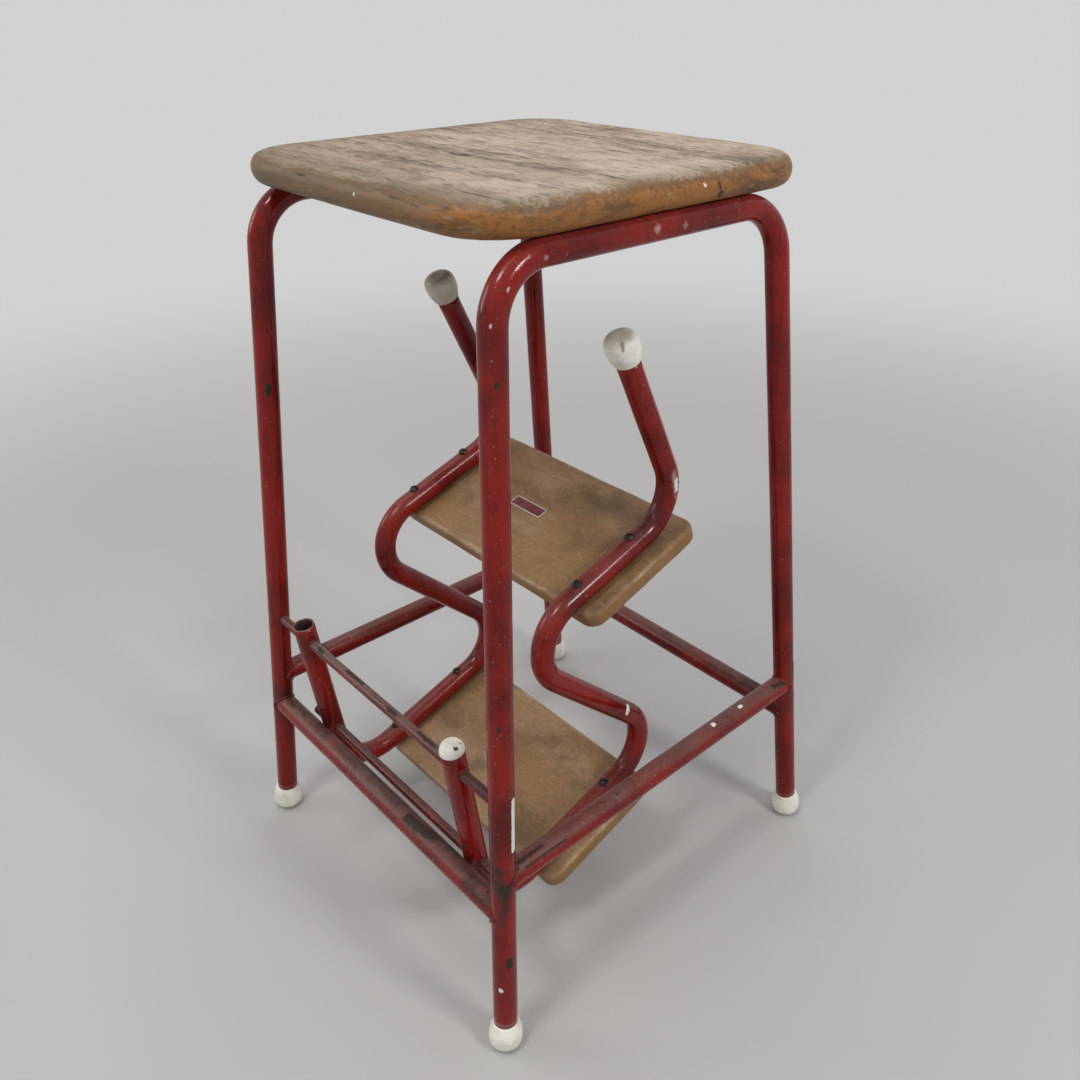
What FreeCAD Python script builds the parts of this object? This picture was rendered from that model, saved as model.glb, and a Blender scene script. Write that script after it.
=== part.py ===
import FreeCAD, Part
import Sketcher
import math
import os

# Folding step stool: a square wooden seat on two bent tube side frames, and a pair of
# steps on zigzag tube rails. The step unit hangs on a rod through both front legs. It is
# stored upside down inside the frame, and swings up and over to the front until its feet
# stand on the floor and its two steps lie level.
# X runs from left to right for someone facing the front, which is -Y. Z = 0 is the floor.

os.makedirs("parts", exist_ok=True)
doc = FreeCAD.newDocument("FoldingStepStool")

# Driving dimensions, in millimetres and degrees

sizes = {
    # Steel tube, the same for frame and rails
    "tube_diameter": 20.0,
    "tube_wall": 1.5,
    # Side frames: leg centres at floor level, and how far the legs lean inwards
    "leg_spacing_across": 377.5,
    "leg_spacing_along": 385.5,
    "frame_lean_angle": 3.5,
    "leg_lean_angle": 4.93,
    "seat_rail_height": 640.0,
    "seat_rail_bend": 44.0,
    # Stretcher centre heights
    "side_stretcher_height": 173.5,
    "end_stretcher_height": 138.5,
    # Seat board
    "seat_width": 325.0,
    "seat_depth": 325.0,
    "seat_thickness": 24.0,
    "seat_corner_radius": 52.0,
    "seat_edge_radius": 11.0,
    "seat_setback": 10.0,
    # Rods through the posts of the step unit
    "rod_diameter": 9.0,
    "rod_chamfer": 0.8,
    "pivot_height": 242.0,
    "rod_end_in_leg": 3.5,
    "tie_rod_below_pivot": 107.0,
    "tie_rod_length": 298.0,
    # Step unit, measured with its feet on the floor
    "rail_spacing": 233.0,
    "rail_bend": 42.0,
    "fold_angle": 161.15,
    "first_step_height": 213.0,
    "second_step_height": 445.0,
    "second_run_length": 235.0,
    "first_run_length": 205.7,
    "first_run_from_pivot": 77.3,
    "step_leg_lean_angle": 5.2,
    "post_above_pivot": 19.0,
    # Step boards
    "tread_width": 277.0,
    "tread_depth": 133.0,
    "tread_thickness": 17.0,
    "tread_corner_radius": 14.0,
    "tread_edge_radius": 5.0,
    "tread_from_bend": 2.0,
    # Foot caps: a plug in the tube, a flaring skirt and a rounded base
    "foot_height": 26.0,
    "foot_diameter": 28.5,
    "foot_neck_diameter": 22.0,
    "foot_skirt_height": 11.0,
    "foot_base_height": 15.1,
    "foot_base_rounding": 8.0,
    "plug_length": 18.0,
    # Domed cap on a post's open end
    "post_cap_diameter": 20.4,
    "post_cap_height": 10.5,
    # Screws
    "screw_shank_diameter": 4.5,
    "screw_head_diameter": 9.0,
    "screw_head_height": 3.2,
    "screw_bite": 11.0,
    "screw_from_bend": 14.0,
    "seat_screw_spacing": 160.0,
    "screw_access_clearance": 0.75,
    # Blank plate under the first step
    "plate_width": 42.0,
    "plate_depth": 12.0,
    "plate_thickness": 0.6,
    "plate_offset_across": -15.0,
    "plate_from_bend": 69.0,
    # Clearances
    "weld_gap": 0.05,
    "board_gap": 0.05,
    "plug_gap": 0.05,
    "screw_gap": 0.05,
    "running_gap": 0.08,
    "stop_gap": 0.3,
}

sheet = doc.addObject("Spreadsheet::Sheet", "sizes")
for row, (name, value) in enumerate(sizes.items(), start=1):
    sheet.set(f"A{row}", name)
    sheet.set(f"B{row}", str(value))
    sheet.setAlias(f"B{row}", name)
doc.recompute()


def size(name):
    return float(getattr(sheet, name))


def bind(item, **formulas):
    for prop, formula in formulas.items():
        item.setExpression(prop, formula)


tubeRadius = size("tube_diameter") / 2
boreRadius = tubeRadius - size("tube_wall")
xAxis = FreeCAD.Vector(1, 0, 0)
yAxis = FreeCAD.Vector(0, 1, 0)
zAxis = FreeCAD.Vector(0, 0, 1)
subParts = []


# Side view geometry, as (y, z) pairs

def turned(point, centre, angle):
    c, s = math.cos(math.radians(angle)), math.sin(math.radians(angle))
    y, z = point[0] - centre[0], point[1] - centre[1]
    return (centre[0] + c * y - s * z, centre[1] + s * y + c * z)


def heading(start, end):
    return math.degrees(math.atan2(end[1] - start[1], end[0] - start[0]))


def moved(point, angle, distance):
    rad = math.radians(angle)
    return (point[0] + distance * math.cos(rad), point[1] + distance * math.sin(rad))


def distanceBetween(a, b):
    return math.hypot(b[0] - a[0], b[1] - a[1])


def bendTangent(before, corner, after, radius):
    """Distance from a corner to where its bend starts."""
    turn = abs((heading(corner, after) - heading(before, corner) + 180) % 360 - 180)
    return radius * math.tan(math.radians(turn / 2))


# Places on the leaning legs: side is -1 or 1 across, end is -1 at the front, 1 at the rear

def legPoint(side, end, height):
    along = height / math.cos(math.radians(size("frame_lean_angle")))
    x = size("leg_spacing_across") / 2 - height * math.tan(math.radians(size("frame_lean_angle")))
    y = size("leg_spacing_along") / 2 - along * math.tan(math.radians(size("leg_lean_angle")))
    return FreeCAD.Vector(side * x, end * y, height)


pivotPoint = legPoint(-1, -1, size("pivot_height"))
pivot = (pivotPoint.y, pivotPoint.z)
stretcherPoint = legPoint(-1, -1, size("end_stretcher_height"))
stretcher = (stretcherPoint.y, stretcherPoint.z)

# At rest each post leans on the back of the front stretcher
postReach = size("tube_diameter") + size("stop_gap")
postHeading = heading(pivot, stretcher) + math.degrees(
    math.asin(postReach / distanceBetween(pivot, stretcher)))

# Corners of a rail with the steps folded out: treads level, feet on the floor
treadStack = size("tread_thickness") + size("board_gap") + tubeRadius
firstRunHeight = size("first_step_height") - treadStack
secondRunHeight = size("second_step_height") - treadStack
openPostHeading = postHeading + size("fold_angle")
postLength = (secondRunHeight - pivot[1]) / math.sin(math.radians(openPostHeading))
openBendD = moved(pivot, openPostHeading, postLength)
openBendC = (openBendD[0] - size("second_run_length"), secondRunHeight)
openBendB = (pivot[0] - size("first_run_from_pivot"), firstRunHeight)
openBendA = (openBendB[0] - size("first_run_length"), firstRunHeight)
footDrop = firstRunHeight - size("foot_height") - size("stop_gap")
openFoot = (openBendA[0] + footDrop * math.tan(math.radians(size("step_leg_lean_angle"))),
            firstRunHeight - footDrop)

# The same corners as stored
railFoot, bendA, bendB, bendC, bendD = [
    turned(point, pivot, -size("fold_angle"))
    for point in (openFoot, openBendA, openBendB, openBendC, openBendD)]
postTop = moved(pivot, postHeading, -size("post_above_pivot"))
tieRod = moved(pivot, postHeading, size("tie_rod_below_pivot"))
storedTilt = heading(bendB, bendA)


# Tools for making pieces

def keep(item, name):
    item.Label = name
    subParts.append(item)
    return item


def originPlane(body, role):
    return [plane for plane in body.Origin.OriginFeatures if plane.Role == role][0]


def sketchOn(body, role, name):
    sketch = body.newObject("Sketcher::SketchObject", name)
    sketch.AttachmentSupport = [(originPlane(body, role), "")]
    sketch.MapMode = "FlatFace"
    return sketch


def ringSketch(body, name):
    """Cross-section of the tube, on the body's XY plane."""
    sketch = sketchOn(body, "XY_Plane", name)
    centre = FreeCAD.Vector(0, 0, 0)
    for radius, formula in ((tubeRadius, "sizes.tube_diameter / 2"),
                            (boreRadius, "sizes.tube_diameter / 2 - sizes.tube_wall")):
        circle = sketch.addGeometry(Part.Circle(centre, zAxis, radius), False)
        sketch.addConstraint(Sketcher.Constraint("Coincident", circle, 3, -1, 1))
        limit = sketch.addConstraint(Sketcher.Constraint("Radius", circle, radius))
        sketch.setExpression(f"Constraints[{limit}]", formula)
    return sketch


def pathPieces(points, radius):
    """Straight runs and tangent arcs through the corners, from first point to last."""
    pieces = []
    start = points[0]
    for before, corner, after in zip(points, points[1:], points[2:]):
        reach = bendTangent(before, corner, after, radius)
        arcStart = moved(corner, heading(corner, before), reach)
        arcEnd = moved(corner, heading(corner, after), reach)
        middle = ((arcStart[0] + arcEnd[0]) / 2, (arcStart[1] + arcEnd[1]) / 2)
        inward = heading(corner, middle)
        centre = moved(corner, inward, math.hypot(reach, radius))
        arcMiddle = moved(centre, inward + 180, radius)
        pieces.append((start, arcStart))
        pieces.append((arcStart, arcMiddle, arcEnd))
        start = arcEnd
    pieces.append((start, points[-1]))
    return pieces


def bentTube(name, points, radius):
    """A tube bent in the YZ plane, made with its first run standing on the origin."""
    turn = 90 - heading(points[0], points[1])
    local = [turned((p[0] - points[0][0], p[1] - points[0][1]), (0, 0), turn)
             for p in points]
    body = doc.addObject("PartDesign::Body", name)
    section = ringSketch(body, name + "_section")
    path = sketchOn(body, "YZ_Plane", name + "_path")
    for piece in pathPieces(local, radius):
        ends = [FreeCAD.Vector(y, z, 0) for y, z in piece]
        if len(ends) == 2:
            path.addGeometry(Part.LineSegment(*ends), False)
        else:
            path.addGeometry(Part.Arc(*ends), False)
    pipe = body.newObject("PartDesign::AdditivePipe", name + "_pipe")
    pipe.Profile = section
    pipe.Spine = path
    body.Tip = pipe
    back = FreeCAD.Rotation(xAxis, -turn)
    body.Placement = FreeCAD.Placement(FreeCAD.Vector(0, *points[0]), back)
    return body


def straightTube(name, length, placement):
    """A straight tube centred on its own origin, along its own Z."""
    body = doc.addObject("PartDesign::Body", name)
    pad = body.newObject("PartDesign::Pad", name + "_pad")
    pad.Profile = ringSketch(body, name + "_section")
    pad.Length = length
    pad.Midplane = True
    body.Tip = pad
    body.Placement = placement
    return body


def roundedBoard(name, width, depth, thickness, corner, edge, placement):
    """A board with rounded corners and edges, standing on its own XY plane."""
    halfWidth, halfDepth, radius = size(width) / 2, size(depth) / 2, size(corner)
    body = doc.addObject("PartDesign::Body", name)
    sketch = sketchOn(body, "XY_Plane", name + "_outline")
    inX, inY = halfWidth - radius, halfDepth - radius
    corners = [(inX, inY, 0), (-inX, inY, 90), (-inX, -inY, 180), (inX, -inY, 270)]
    arcs = []
    for x, y, start in corners:
        circle = Part.Circle(FreeCAD.Vector(x, y, 0), zAxis, radius)
        arc = Part.ArcOfCircle(circle, math.radians(start), math.radians(start + 90))
        arcs.append(sketch.addGeometry(arc, False))
    lines = []
    for here, there in zip(arcs, arcs[1:] + arcs[:1]):
        ends = (sketch.getPoint(here, 2), sketch.getPoint(there, 1))
        line = sketch.addGeometry(Part.LineSegment(*ends), False)
        sketch.addConstraint(Sketcher.Constraint("Tangent", here, 2, line, 1))
        sketch.addConstraint(Sketcher.Constraint("Tangent", line, 2, there, 1))
        lines.append(line)
    for line in lines[0::2]:
        sketch.addConstraint(Sketcher.Constraint("Horizontal", line))
    for line in lines[1::2]:
        sketch.addConstraint(Sketcher.Constraint("Vertical", line))
    for arc in arcs[1:]:
        sketch.addConstraint(Sketcher.Constraint("Equal", arcs[0], arc))
    sketch.addConstraint(Sketcher.Constraint("Symmetric", arcs[0], 3, arcs[2], 3, -1, 1))
    limits = (("Radius", (arcs[0],), radius, f"sizes.{corner}"),
              ("DistanceX", (arcs[1], 3, arcs[0], 3), 2 * inX,
               f"sizes.{width} - 2 * sizes.{corner}"),
              ("DistanceY", (arcs[3], 3, arcs[0], 3), 2 * inY,
               f"sizes.{depth} - 2 * sizes.{corner}"))
    for kind, where, value, formula in limits:
        limit = sketch.addConstraint(Sketcher.Constraint(kind, *where, value))
        sketch.setExpression(f"Constraints[{limit}]", formula)
    pad = body.newObject("PartDesign::Pad", name + "_pad")
    pad.Profile = sketch
    bind(pad, Length=f"sizes.{thickness}")
    doc.recompute()
    outline = [f"Edge{number}" for number, rim in enumerate(pad.Shape.Edges, start=1)
               if rim.BoundBox.ZLength < 0.001]
    rounding = body.newObject("PartDesign::Fillet", name + "_rounding")
    rounding.Base = (pad, outline)
    bind(rounding, Radius=f"sizes.{edge}")
    body.Tip = rounding
    body.Placement = placement
    return body


def rod(name, length, lengthFormula, place):
    """A round bar along X, centred on the middle plane, with chamfered ends."""
    body = doc.addObject("PartDesign::Body", name)
    sketch = sketchOn(body, "YZ_Plane", name + "_section")
    radius = size("rod_diameter") / 2
    circle = sketch.addGeometry(Part.Circle(FreeCAD.Vector(0, 0, 0), zAxis, radius), False)
    sketch.addConstraint(Sketcher.Constraint("Coincident", circle, 3, -1, 1))
    limit = sketch.addConstraint(Sketcher.Constraint("Radius", circle, radius))
    sketch.setExpression(f"Constraints[{limit}]", "sizes.rod_diameter / 2")
    pad = body.newObject("PartDesign::Pad", name + "_pad")
    pad.Profile = sketch
    pad.Length = length
    pad.Midplane = True
    if lengthFormula:
        bind(pad, Length=lengthFormula)
    doc.recompute()
    rims = [f"Edge{number}" for number, rim in enumerate(pad.Shape.Edges, start=1)
            if rim.BoundBox.XLength < 0.001]
    chamfer = body.newObject("PartDesign::Chamfer", name + "_chamfer")
    chamfer.Base = (pad, rims)
    bind(chamfer, Size="sizes.rod_chamfer")
    body.Tip = chamfer
    body.Placement = FreeCAD.Placement(FreeCAD.Vector(0, *place), FreeCAD.Rotation())
    return body


def cylinder(name, radius, height, start, direction):
    """A round solid whose size is bound to the sheet, from a start point along a line."""
    item = doc.addObject("Part::Cylinder", name)
    bind(item, Radius=radius)
    item.Height = height
    item.Placement = FreeCAD.Placement(start, FreeCAD.Rotation(zAxis, direction))
    return item


def cutAway(name, base, tools):
    """The piece that is left when the tools are taken out of the base."""
    tool = tools[0]
    if len(tools) > 1:
        tool = doc.addObject("Part::Compound", name + "_tools")
        tool.Links = tools
    cut = doc.addObject("Part::Cut", name)
    cut.Base = base
    cut.Tool = tool
    return keep(cut, name)


def sideView(point, x=0.0):
    return FreeCAD.Vector(x, point[0], point[1])


def sideDirection(angle):
    rad = math.radians(angle)
    return FreeCAD.Vector(0, math.cos(rad), math.sin(rad))


def screw(name, headSeat, direction, reach):
    """A round-head screw: its head at the seat point, its shank reaching into the board."""
    rise, half = size("screw_head_height"), size("screw_head_diameter") / 2
    domeRadius = (half ** 2 + rise ** 2) / (2 * rise)
    head = doc.addObject("Part::Sphere", name + "_head")
    head.Radius = domeRadius
    head.Angle1 = math.degrees(math.asin((domeRadius - rise) / domeRadius))
    head.Angle2 = 90
    centre = headSeat + direction * (domeRadius - rise)
    head.Placement = FreeCAD.Placement(centre, FreeCAD.Rotation(zAxis, direction * -1))
    shank = cylinder(name + "_shank", "sizes.screw_shank_diameter / 2",
                     reach + size("screw_bite") + rise / 2,
                     headSeat - direction * (rise / 2), direction)
    whole = doc.addObject("Part::MultiFuse", name)
    whole.Shapes = [head, shank]
    return whole


def screwDrill(name, headSeat, direction, reach):
    """The hole that a screw fills, through the tube's wall and into the board."""
    depth = size("screw_head_height") + reach + size("screw_bite") + size("screw_gap")
    return cylinder(name, "sizes.screw_shank_diameter / 2 + sizes.screw_gap", depth,
                    headSeat - direction * size("screw_head_height"), direction)


def group(name, items):
    compound = doc.addObject("Part::Compound", name)
    compound.Links = items
    return keep(compound, name)


# Side frames: front leg, seat rail and rear leg from one tube, leaning inwards

def leanedPlacement(side):
    foot = FreeCAD.Vector(side * size("leg_spacing_across") / 2, 0, 0)
    return FreeCAD.Placement(foot, FreeCAD.Rotation(yAxis, -side * size("frame_lean_angle")))


def sideFramePoints():
    points = []
    for end, height in ((-1, "foot_height"), (-1, "seat_rail_height"),
                        (1, "seat_rail_height"), (1, "foot_height")):
        along = size(height) / math.cos(math.radians(size("frame_lean_angle")))
        points.append((legPoint(1, end, size(height)).y, along))
    return points


def legDirection(side, end):
    return (legPoint(side, end, 100) - legPoint(side, end, 0)).normalize()


# The seat's screws have their heads inside the tube, against its upper wall

seatHeadRise = math.sqrt(boreRadius ** 2 - (size("screw_head_diameter") / 2) ** 2)
seatHeadRise -= size("screw_gap")
seatScrewReach = tubeRadius - seatHeadRise + size("board_gap")
seatScrewSeats = {
    side: [FreeCAD.Vector(legPoint(side, -1, size("seat_rail_height")).x,
                          size("seat_setback") + end * size("seat_screw_spacing") / 2,
                          size("seat_rail_height") + seatHeadRise)
           for end in (-1, 1)]
    for side in (-1, 1)}

sideNames = {-1: "left", 1: "right"}
endNames = {-1: "front", 1: "rear"}
legCores = {}
for side, sideName in sideNames.items():
    for end, endName in endNames.items():
        core = cylinder(f"{endName}_{sideName}_leg_core",
                        "sizes.tube_diameter / 2 + sizes.weld_gap",
                        size("seat_rail_height") / 2, legPoint(side, end, size("foot_height")),
                        legDirection(side, end))
        legCores[side, end] = core
    frame = bentTube(f"{sideName}_frame_tube", sideFramePoints(), size("seat_rail_bend"))
    frame.Placement = leanedPlacement(side) * frame.Placement
    axis = legPoint(side, -1, size("pivot_height"))
    bearing = cylinder(f"{sideName}_pivot_bearing", "sizes.rod_diameter / 2 + sizes.running_gap",
                       size("tube_diameter"), axis, xAxis * -side)
    drills = [bearing]
    for number, place in enumerate(seatScrewSeats[side], start=1):
        drills.append(screwDrill(f"{sideName}_seat_drill_{number}", place, zAxis,
                                 seatScrewReach))
        drills.append(cylinder(f"{sideName}_seat_access_{number}",
                               "sizes.screw_head_diameter / 2 + sizes.screw_access_clearance",
                               size("tube_diameter"), place, zAxis * -1))
    cutAway(f"{sideName}_side_frame", frame, drills)

# Stretchers, their ends cut to fit round the legs

for end, endName in endNames.items():
    near = legPoint(-1, end, size("end_stretcher_height"))
    place = FreeCAD.Placement(FreeCAD.Vector(0, near.y, near.z), FreeCAD.Rotation(yAxis, 90))
    tube = straightTube(f"{endName}_stretcher_tube", -2 * near.x, place)
    cutAway(f"{endName}_stretcher", tube, [legCores[-1, end], legCores[1, end]])
for side, sideName in sideNames.items():
    near = legPoint(side, -1, size("side_stretcher_height"))
    place = FreeCAD.Placement(FreeCAD.Vector(near.x, 0, near.z), FreeCAD.Rotation(xAxis, 90))
    tube = straightTube(f"{sideName}_stretcher_tube", -2 * near.y, place)
    cutAway(f"{sideName}_stretcher", tube, [legCores[side, -1], legCores[side, 1]])

# Seat board, held by screws up through the seat rails' upper walls

seatUnderside = size("seat_rail_height") + tubeRadius + size("board_gap")
seatPlace = FreeCAD.Placement(FreeCAD.Vector(0, size("seat_setback"), seatUnderside),
                              FreeCAD.Rotation())
seatBoard = roundedBoard("seat_board", "seat_width", "seat_depth", "seat_thickness",
                         "seat_corner_radius", "seat_edge_radius", seatPlace)
seatDrills = []
seatScrews = []
for side, sideName in sideNames.items():
    for number, place in enumerate(seatScrewSeats[side], start=1):
        seatDrills.append(screwDrill(f"{sideName}_seat_pilot_{number}", place, zAxis,
                                     seatScrewReach))
        seatScrews.append(screw(f"{sideName}_seat_screw_{number}", place, zAxis,
                                seatScrewReach))
cutAway("seat", seatBoard, seatDrills)
group("seat_screws", seatScrews)


# Foot caps

def footCap(name, tubeEnd, outward, floor):
    """A cap on a tube's end: outward points away from the tube, floor is a cutting block."""
    plug = cylinder(name + "_plug", "sizes.tube_diameter / 2 - sizes.tube_wall - sizes.plug_gap",
                    size("plug_length") + 1, tubeEnd + outward, outward * -1)
    face = tubeEnd + outward * size("weld_gap")
    turn = FreeCAD.Rotation(zAxis, outward)
    skirt = doc.addObject("Part::Cone", name + "_skirt")
    bind(skirt, Radius1="sizes.foot_neck_diameter / 2", Radius2="sizes.foot_diameter / 2",
         Height="sizes.foot_skirt_height")
    skirt.Placement = FreeCAD.Placement(face, turn)
    base = doc.addObject("Part::Cylinder", name + "_base")
    bind(base, Radius="sizes.foot_diameter / 2", Height="sizes.foot_base_height")
    baseStart = face + outward * size("foot_skirt_height")
    base.Placement = FreeCAD.Placement(baseStart, turn)
    doc.recompute()
    rims = [(number, size("foot_base_rounding"), size("foot_base_rounding"))
            for number, rim in enumerate(base.Shape.Edges, start=1)
            if rim.isClosed() and rim.CenterOfMass.distanceToPoint(baseStart) > 1]
    rounded = doc.addObject("Part::Fillet", name + "_rounded_base")
    rounded.Base = base
    rounded.Edges = rims
    whole = doc.addObject("Part::MultiFuse", name + "_whole")
    whole.Shapes = [plug, skirt, rounded]
    return cutAway(name, whole, [floor])


blockSize = 4 * size("foot_diameter")


def floorBlock(name, contact, upward):
    """A block below a floor plane that passes through the contact point."""
    block = doc.addObject("Part::Box", name)
    bind(block, Length="4 * sizes.foot_diameter", Width="4 * sizes.foot_diameter",
         Height="4 * sizes.foot_diameter")
    turn = FreeCAD.Rotation(zAxis, upward)
    corner = turn.multVec(FreeCAD.Vector(blockSize / 2, blockSize / 2, blockSize))
    block.Placement = FreeCAD.Placement(contact - corner, turn)
    return block


for side, sideName in sideNames.items():
    for end, endName in endNames.items():
        tubeEnd = legPoint(side, end, size("foot_height"))
        contact = FreeCAD.Vector(tubeEnd.x, tubeEnd.y, 0)
        floor = floorBlock(f"{endName}_{sideName}_floor", contact, zAxis)
        footCap(f"{endName}_{sideName}_foot", tubeEnd, legDirection(side, end) * -1, floor)

# Step rails: one bent tube on each side, from the foot to the post on the pivot rod

railCorners = [railFoot, bendA, bendB, bendC, bendD, postTop]
boardSide = storedTilt - 90
firstStraight = (bendTangent(bendC, bendB, bendA, size("rail_bend")),
                 distanceBetween(bendB, bendA)
                 - bendTangent(bendB, bendA, railFoot, size("rail_bend")))
secondStraight = (bendTangent(postTop, bendD, bendC, size("rail_bend")),
                  distanceBetween(bendD, bendC)
                  - bendTangent(bendD, bendC, bendB, size("rail_bend")))


def treadScrewSeats(corner, straight, x):
    """Where the heads of a step's screws lie on one rail."""
    seats = []
    for along in (straight[0] + size("screw_from_bend"), straight[1] - size("screw_from_bend")):
        onAxis = moved(corner, storedTilt, along)
        seats.append(sideView(moved(onAxis, boardSide, -tubeRadius - size("screw_gap")), x))
    return seats


steps = {"first": (bendB, firstStraight), "second": (bendD, secondStraight)}
stepScrews = {"first": [], "second": []}
treadDrills = {"first": [], "second": []}
outwardFoot = heading(bendA, railFoot)
stepFloorUp = sideDirection(90 - size("fold_angle"))
stepScrewReach = size("tube_diameter") + size("board_gap")
for side, sideName in sideNames.items():
    x = side * size("rail_spacing") / 2
    rail = bentTube(f"{sideName}_rail_tube", railCorners, size("rail_bend"))
    rail.Placement.Base.x = x
    drills = []
    for rodName, place in (("pivot", pivot), ("tie", tieRod)):
        start = sideView(place, x - size("tube_diameter"))
        drills.append(cylinder(f"{sideName}_{rodName}_hole",
                               "sizes.rod_diameter / 2 + sizes.weld_gap",
                               2 * size("tube_diameter"), start, xAxis))
    for step, (corner, straight) in steps.items():
        for number, place in enumerate(treadScrewSeats(corner, straight, x), start=1):
            label = f"{sideName}_{step}_step"
            direction = sideDirection(boardSide)
            drills.append(screwDrill(f"{label}_drill_{number}", place, direction,
                                     stepScrewReach))
            treadDrills[step].append(screwDrill(f"{label}_pilot_{number}", place, direction,
                                                stepScrewReach))
            stepScrews[step].append(screw(f"{label}_screw_{number}", place, direction,
                                          stepScrewReach))
    cutAway(f"{sideName}_rail", rail, drills)
    tubeEnd = sideView(railFoot, x)
    openEnd = turned(railFoot, pivot, size("fold_angle"))
    contact = turned((openEnd[0], size("stop_gap")), pivot, -size("fold_angle"))
    floor = floorBlock(f"{sideName}_rail_floor", sideView(contact, x), stepFloorUp)
    footCap(f"{sideName}_rail_foot", tubeEnd, sideDirection(outwardFoot), floor)

# Step boards, on the far side of the runs while stored

for step, (corner, straight) in steps.items():
    middle = moved(corner, storedTilt,
                   straight[0] + size("tread_from_bend") + size("tread_depth") / 2)
    face = moved(middle, boardSide, tubeRadius + size("board_gap"))
    place = FreeCAD.Placement(sideView(face), FreeCAD.Rotation(xAxis, storedTilt + 180))
    board = roundedBoard(f"{step}_step_board", "tread_width", "tread_depth", "tread_thickness",
                         "tread_corner_radius", "tread_edge_radius", place)
    cutAway(f"{step}_step", board, treadDrills[step])
    group(f"{step}_step_screws", stepScrews[step])

# Rods through the posts: the upper one turns in both front legs

legBoreFace = -pivotPoint.x + boreRadius
keep(rod("pivot_rod_bar", 2 * (legBoreFace - size("rod_end_in_leg")), None, pivot),
     "pivot_rod")
keep(rod("tie_rod_bar", size("tie_rod_length"), "sizes.tie_rod_length", tieRod), "tie_rod")

# Domed cap in the right post: the left post is open

capOutward = sideDirection(postHeading + 180)
capPlace = sideView(postTop, size("rail_spacing") / 2)
capRise, capHalf = size("post_cap_height"), size("post_cap_diameter") / 2
capDomeRadius = (capHalf ** 2 + capRise ** 2) / (2 * capRise)
capDome = doc.addObject("Part::Sphere", "post_cap_dome")
capDome.Radius = capDomeRadius
capDome.Angle1 = math.degrees(math.asin((capDomeRadius - capRise) / capDomeRadius))
capDome.Angle2 = 90
capFace = capPlace + capOutward * size("weld_gap")
capDome.Placement = FreeCAD.Placement(capFace - capOutward * (capDomeRadius - capRise),
                                      FreeCAD.Rotation(zAxis, capOutward))
capPlugLength = size("post_above_pivot") - size("rod_diameter")
capPlug = cylinder("post_cap_plug", "sizes.tube_diameter / 2 - sizes.tube_wall - sizes.plug_gap",
                   capPlugLength + capRise / 2, capFace + capOutward * capRise / 2,
                   capOutward * -1)
capWhole = doc.addObject("Part::MultiFuse", "post_cap")
capWhole.Shapes = [capDome, capPlug]
keep(capWhole, "right_post_cap")

# Blank plate on the underside of the first step

plate = doc.addObject("Part::Box", "blank_plate")
bind(plate, Length="sizes.plate_width", Width="sizes.plate_depth",
     Height="sizes.plate_thickness")
plateMiddle = moved(bendB, storedTilt, firstStraight[0] + size("plate_from_bend"))
plateFace = moved(plateMiddle, boardSide, tubeRadius)
plateTurn = FreeCAD.Rotation(xAxis, storedTilt)
plateCorner = FreeCAD.Vector(size("plate_offset_across") - size("plate_width") / 2,
                             -size("plate_depth") / 2, 0)
plate.Placement = FreeCAD.Placement(sideView(plateFace) + plateTurn.multVec(plateCorner),
                                    plateTurn)
keep(plate, "blank_plate")

# Check every object, then write one file for each sub-part

doc.recompute()
for item in doc.Objects:
    troubles = [state for state in item.State if state in ("Invalid", "Error")]
    if troubles:
        raise RuntimeError(f"{item.Label} is {troubles}")
for item in subParts:
    if item.Shape.isNull() or not item.Shape.isValid():
        raise RuntimeError(f"{item.Label} has no valid shape")
for item in subParts:
    item.Shape.exportStep(f"parts/{item.Label}.step")
    box = item.Shape.BoundBox
    print(f"{item.Label}: {len(item.Shape.Solids)} solid(s), {item.Shape.Volume:.1f} mm3, "
          f"z {box.ZMin:.2f} to {box.ZMax:.2f}")
print(f"stored tilt {storedTilt:.3f} degrees, pivot at y {pivot[0]:.3f}, z {pivot[1]:.3f}")
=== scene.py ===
import bpy
import bmesh
import math
from mathutils import Matrix, Vector, noise


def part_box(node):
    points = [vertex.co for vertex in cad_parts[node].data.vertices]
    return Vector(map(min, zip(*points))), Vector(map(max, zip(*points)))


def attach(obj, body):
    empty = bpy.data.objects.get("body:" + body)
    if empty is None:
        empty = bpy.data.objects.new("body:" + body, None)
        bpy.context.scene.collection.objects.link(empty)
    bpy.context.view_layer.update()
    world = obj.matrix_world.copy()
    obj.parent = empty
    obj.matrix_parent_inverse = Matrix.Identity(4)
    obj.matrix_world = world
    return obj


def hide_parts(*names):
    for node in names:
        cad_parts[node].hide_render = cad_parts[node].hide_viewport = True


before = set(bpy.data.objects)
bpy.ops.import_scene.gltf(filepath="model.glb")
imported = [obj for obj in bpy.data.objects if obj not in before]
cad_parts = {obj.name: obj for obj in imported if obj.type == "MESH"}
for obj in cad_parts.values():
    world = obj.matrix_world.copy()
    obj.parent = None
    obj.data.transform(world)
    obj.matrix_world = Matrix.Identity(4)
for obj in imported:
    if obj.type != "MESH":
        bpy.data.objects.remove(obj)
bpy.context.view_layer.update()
print("frame loaded")

# Everything is in metres: +X right, -Y front, Z up from the floor.

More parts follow.
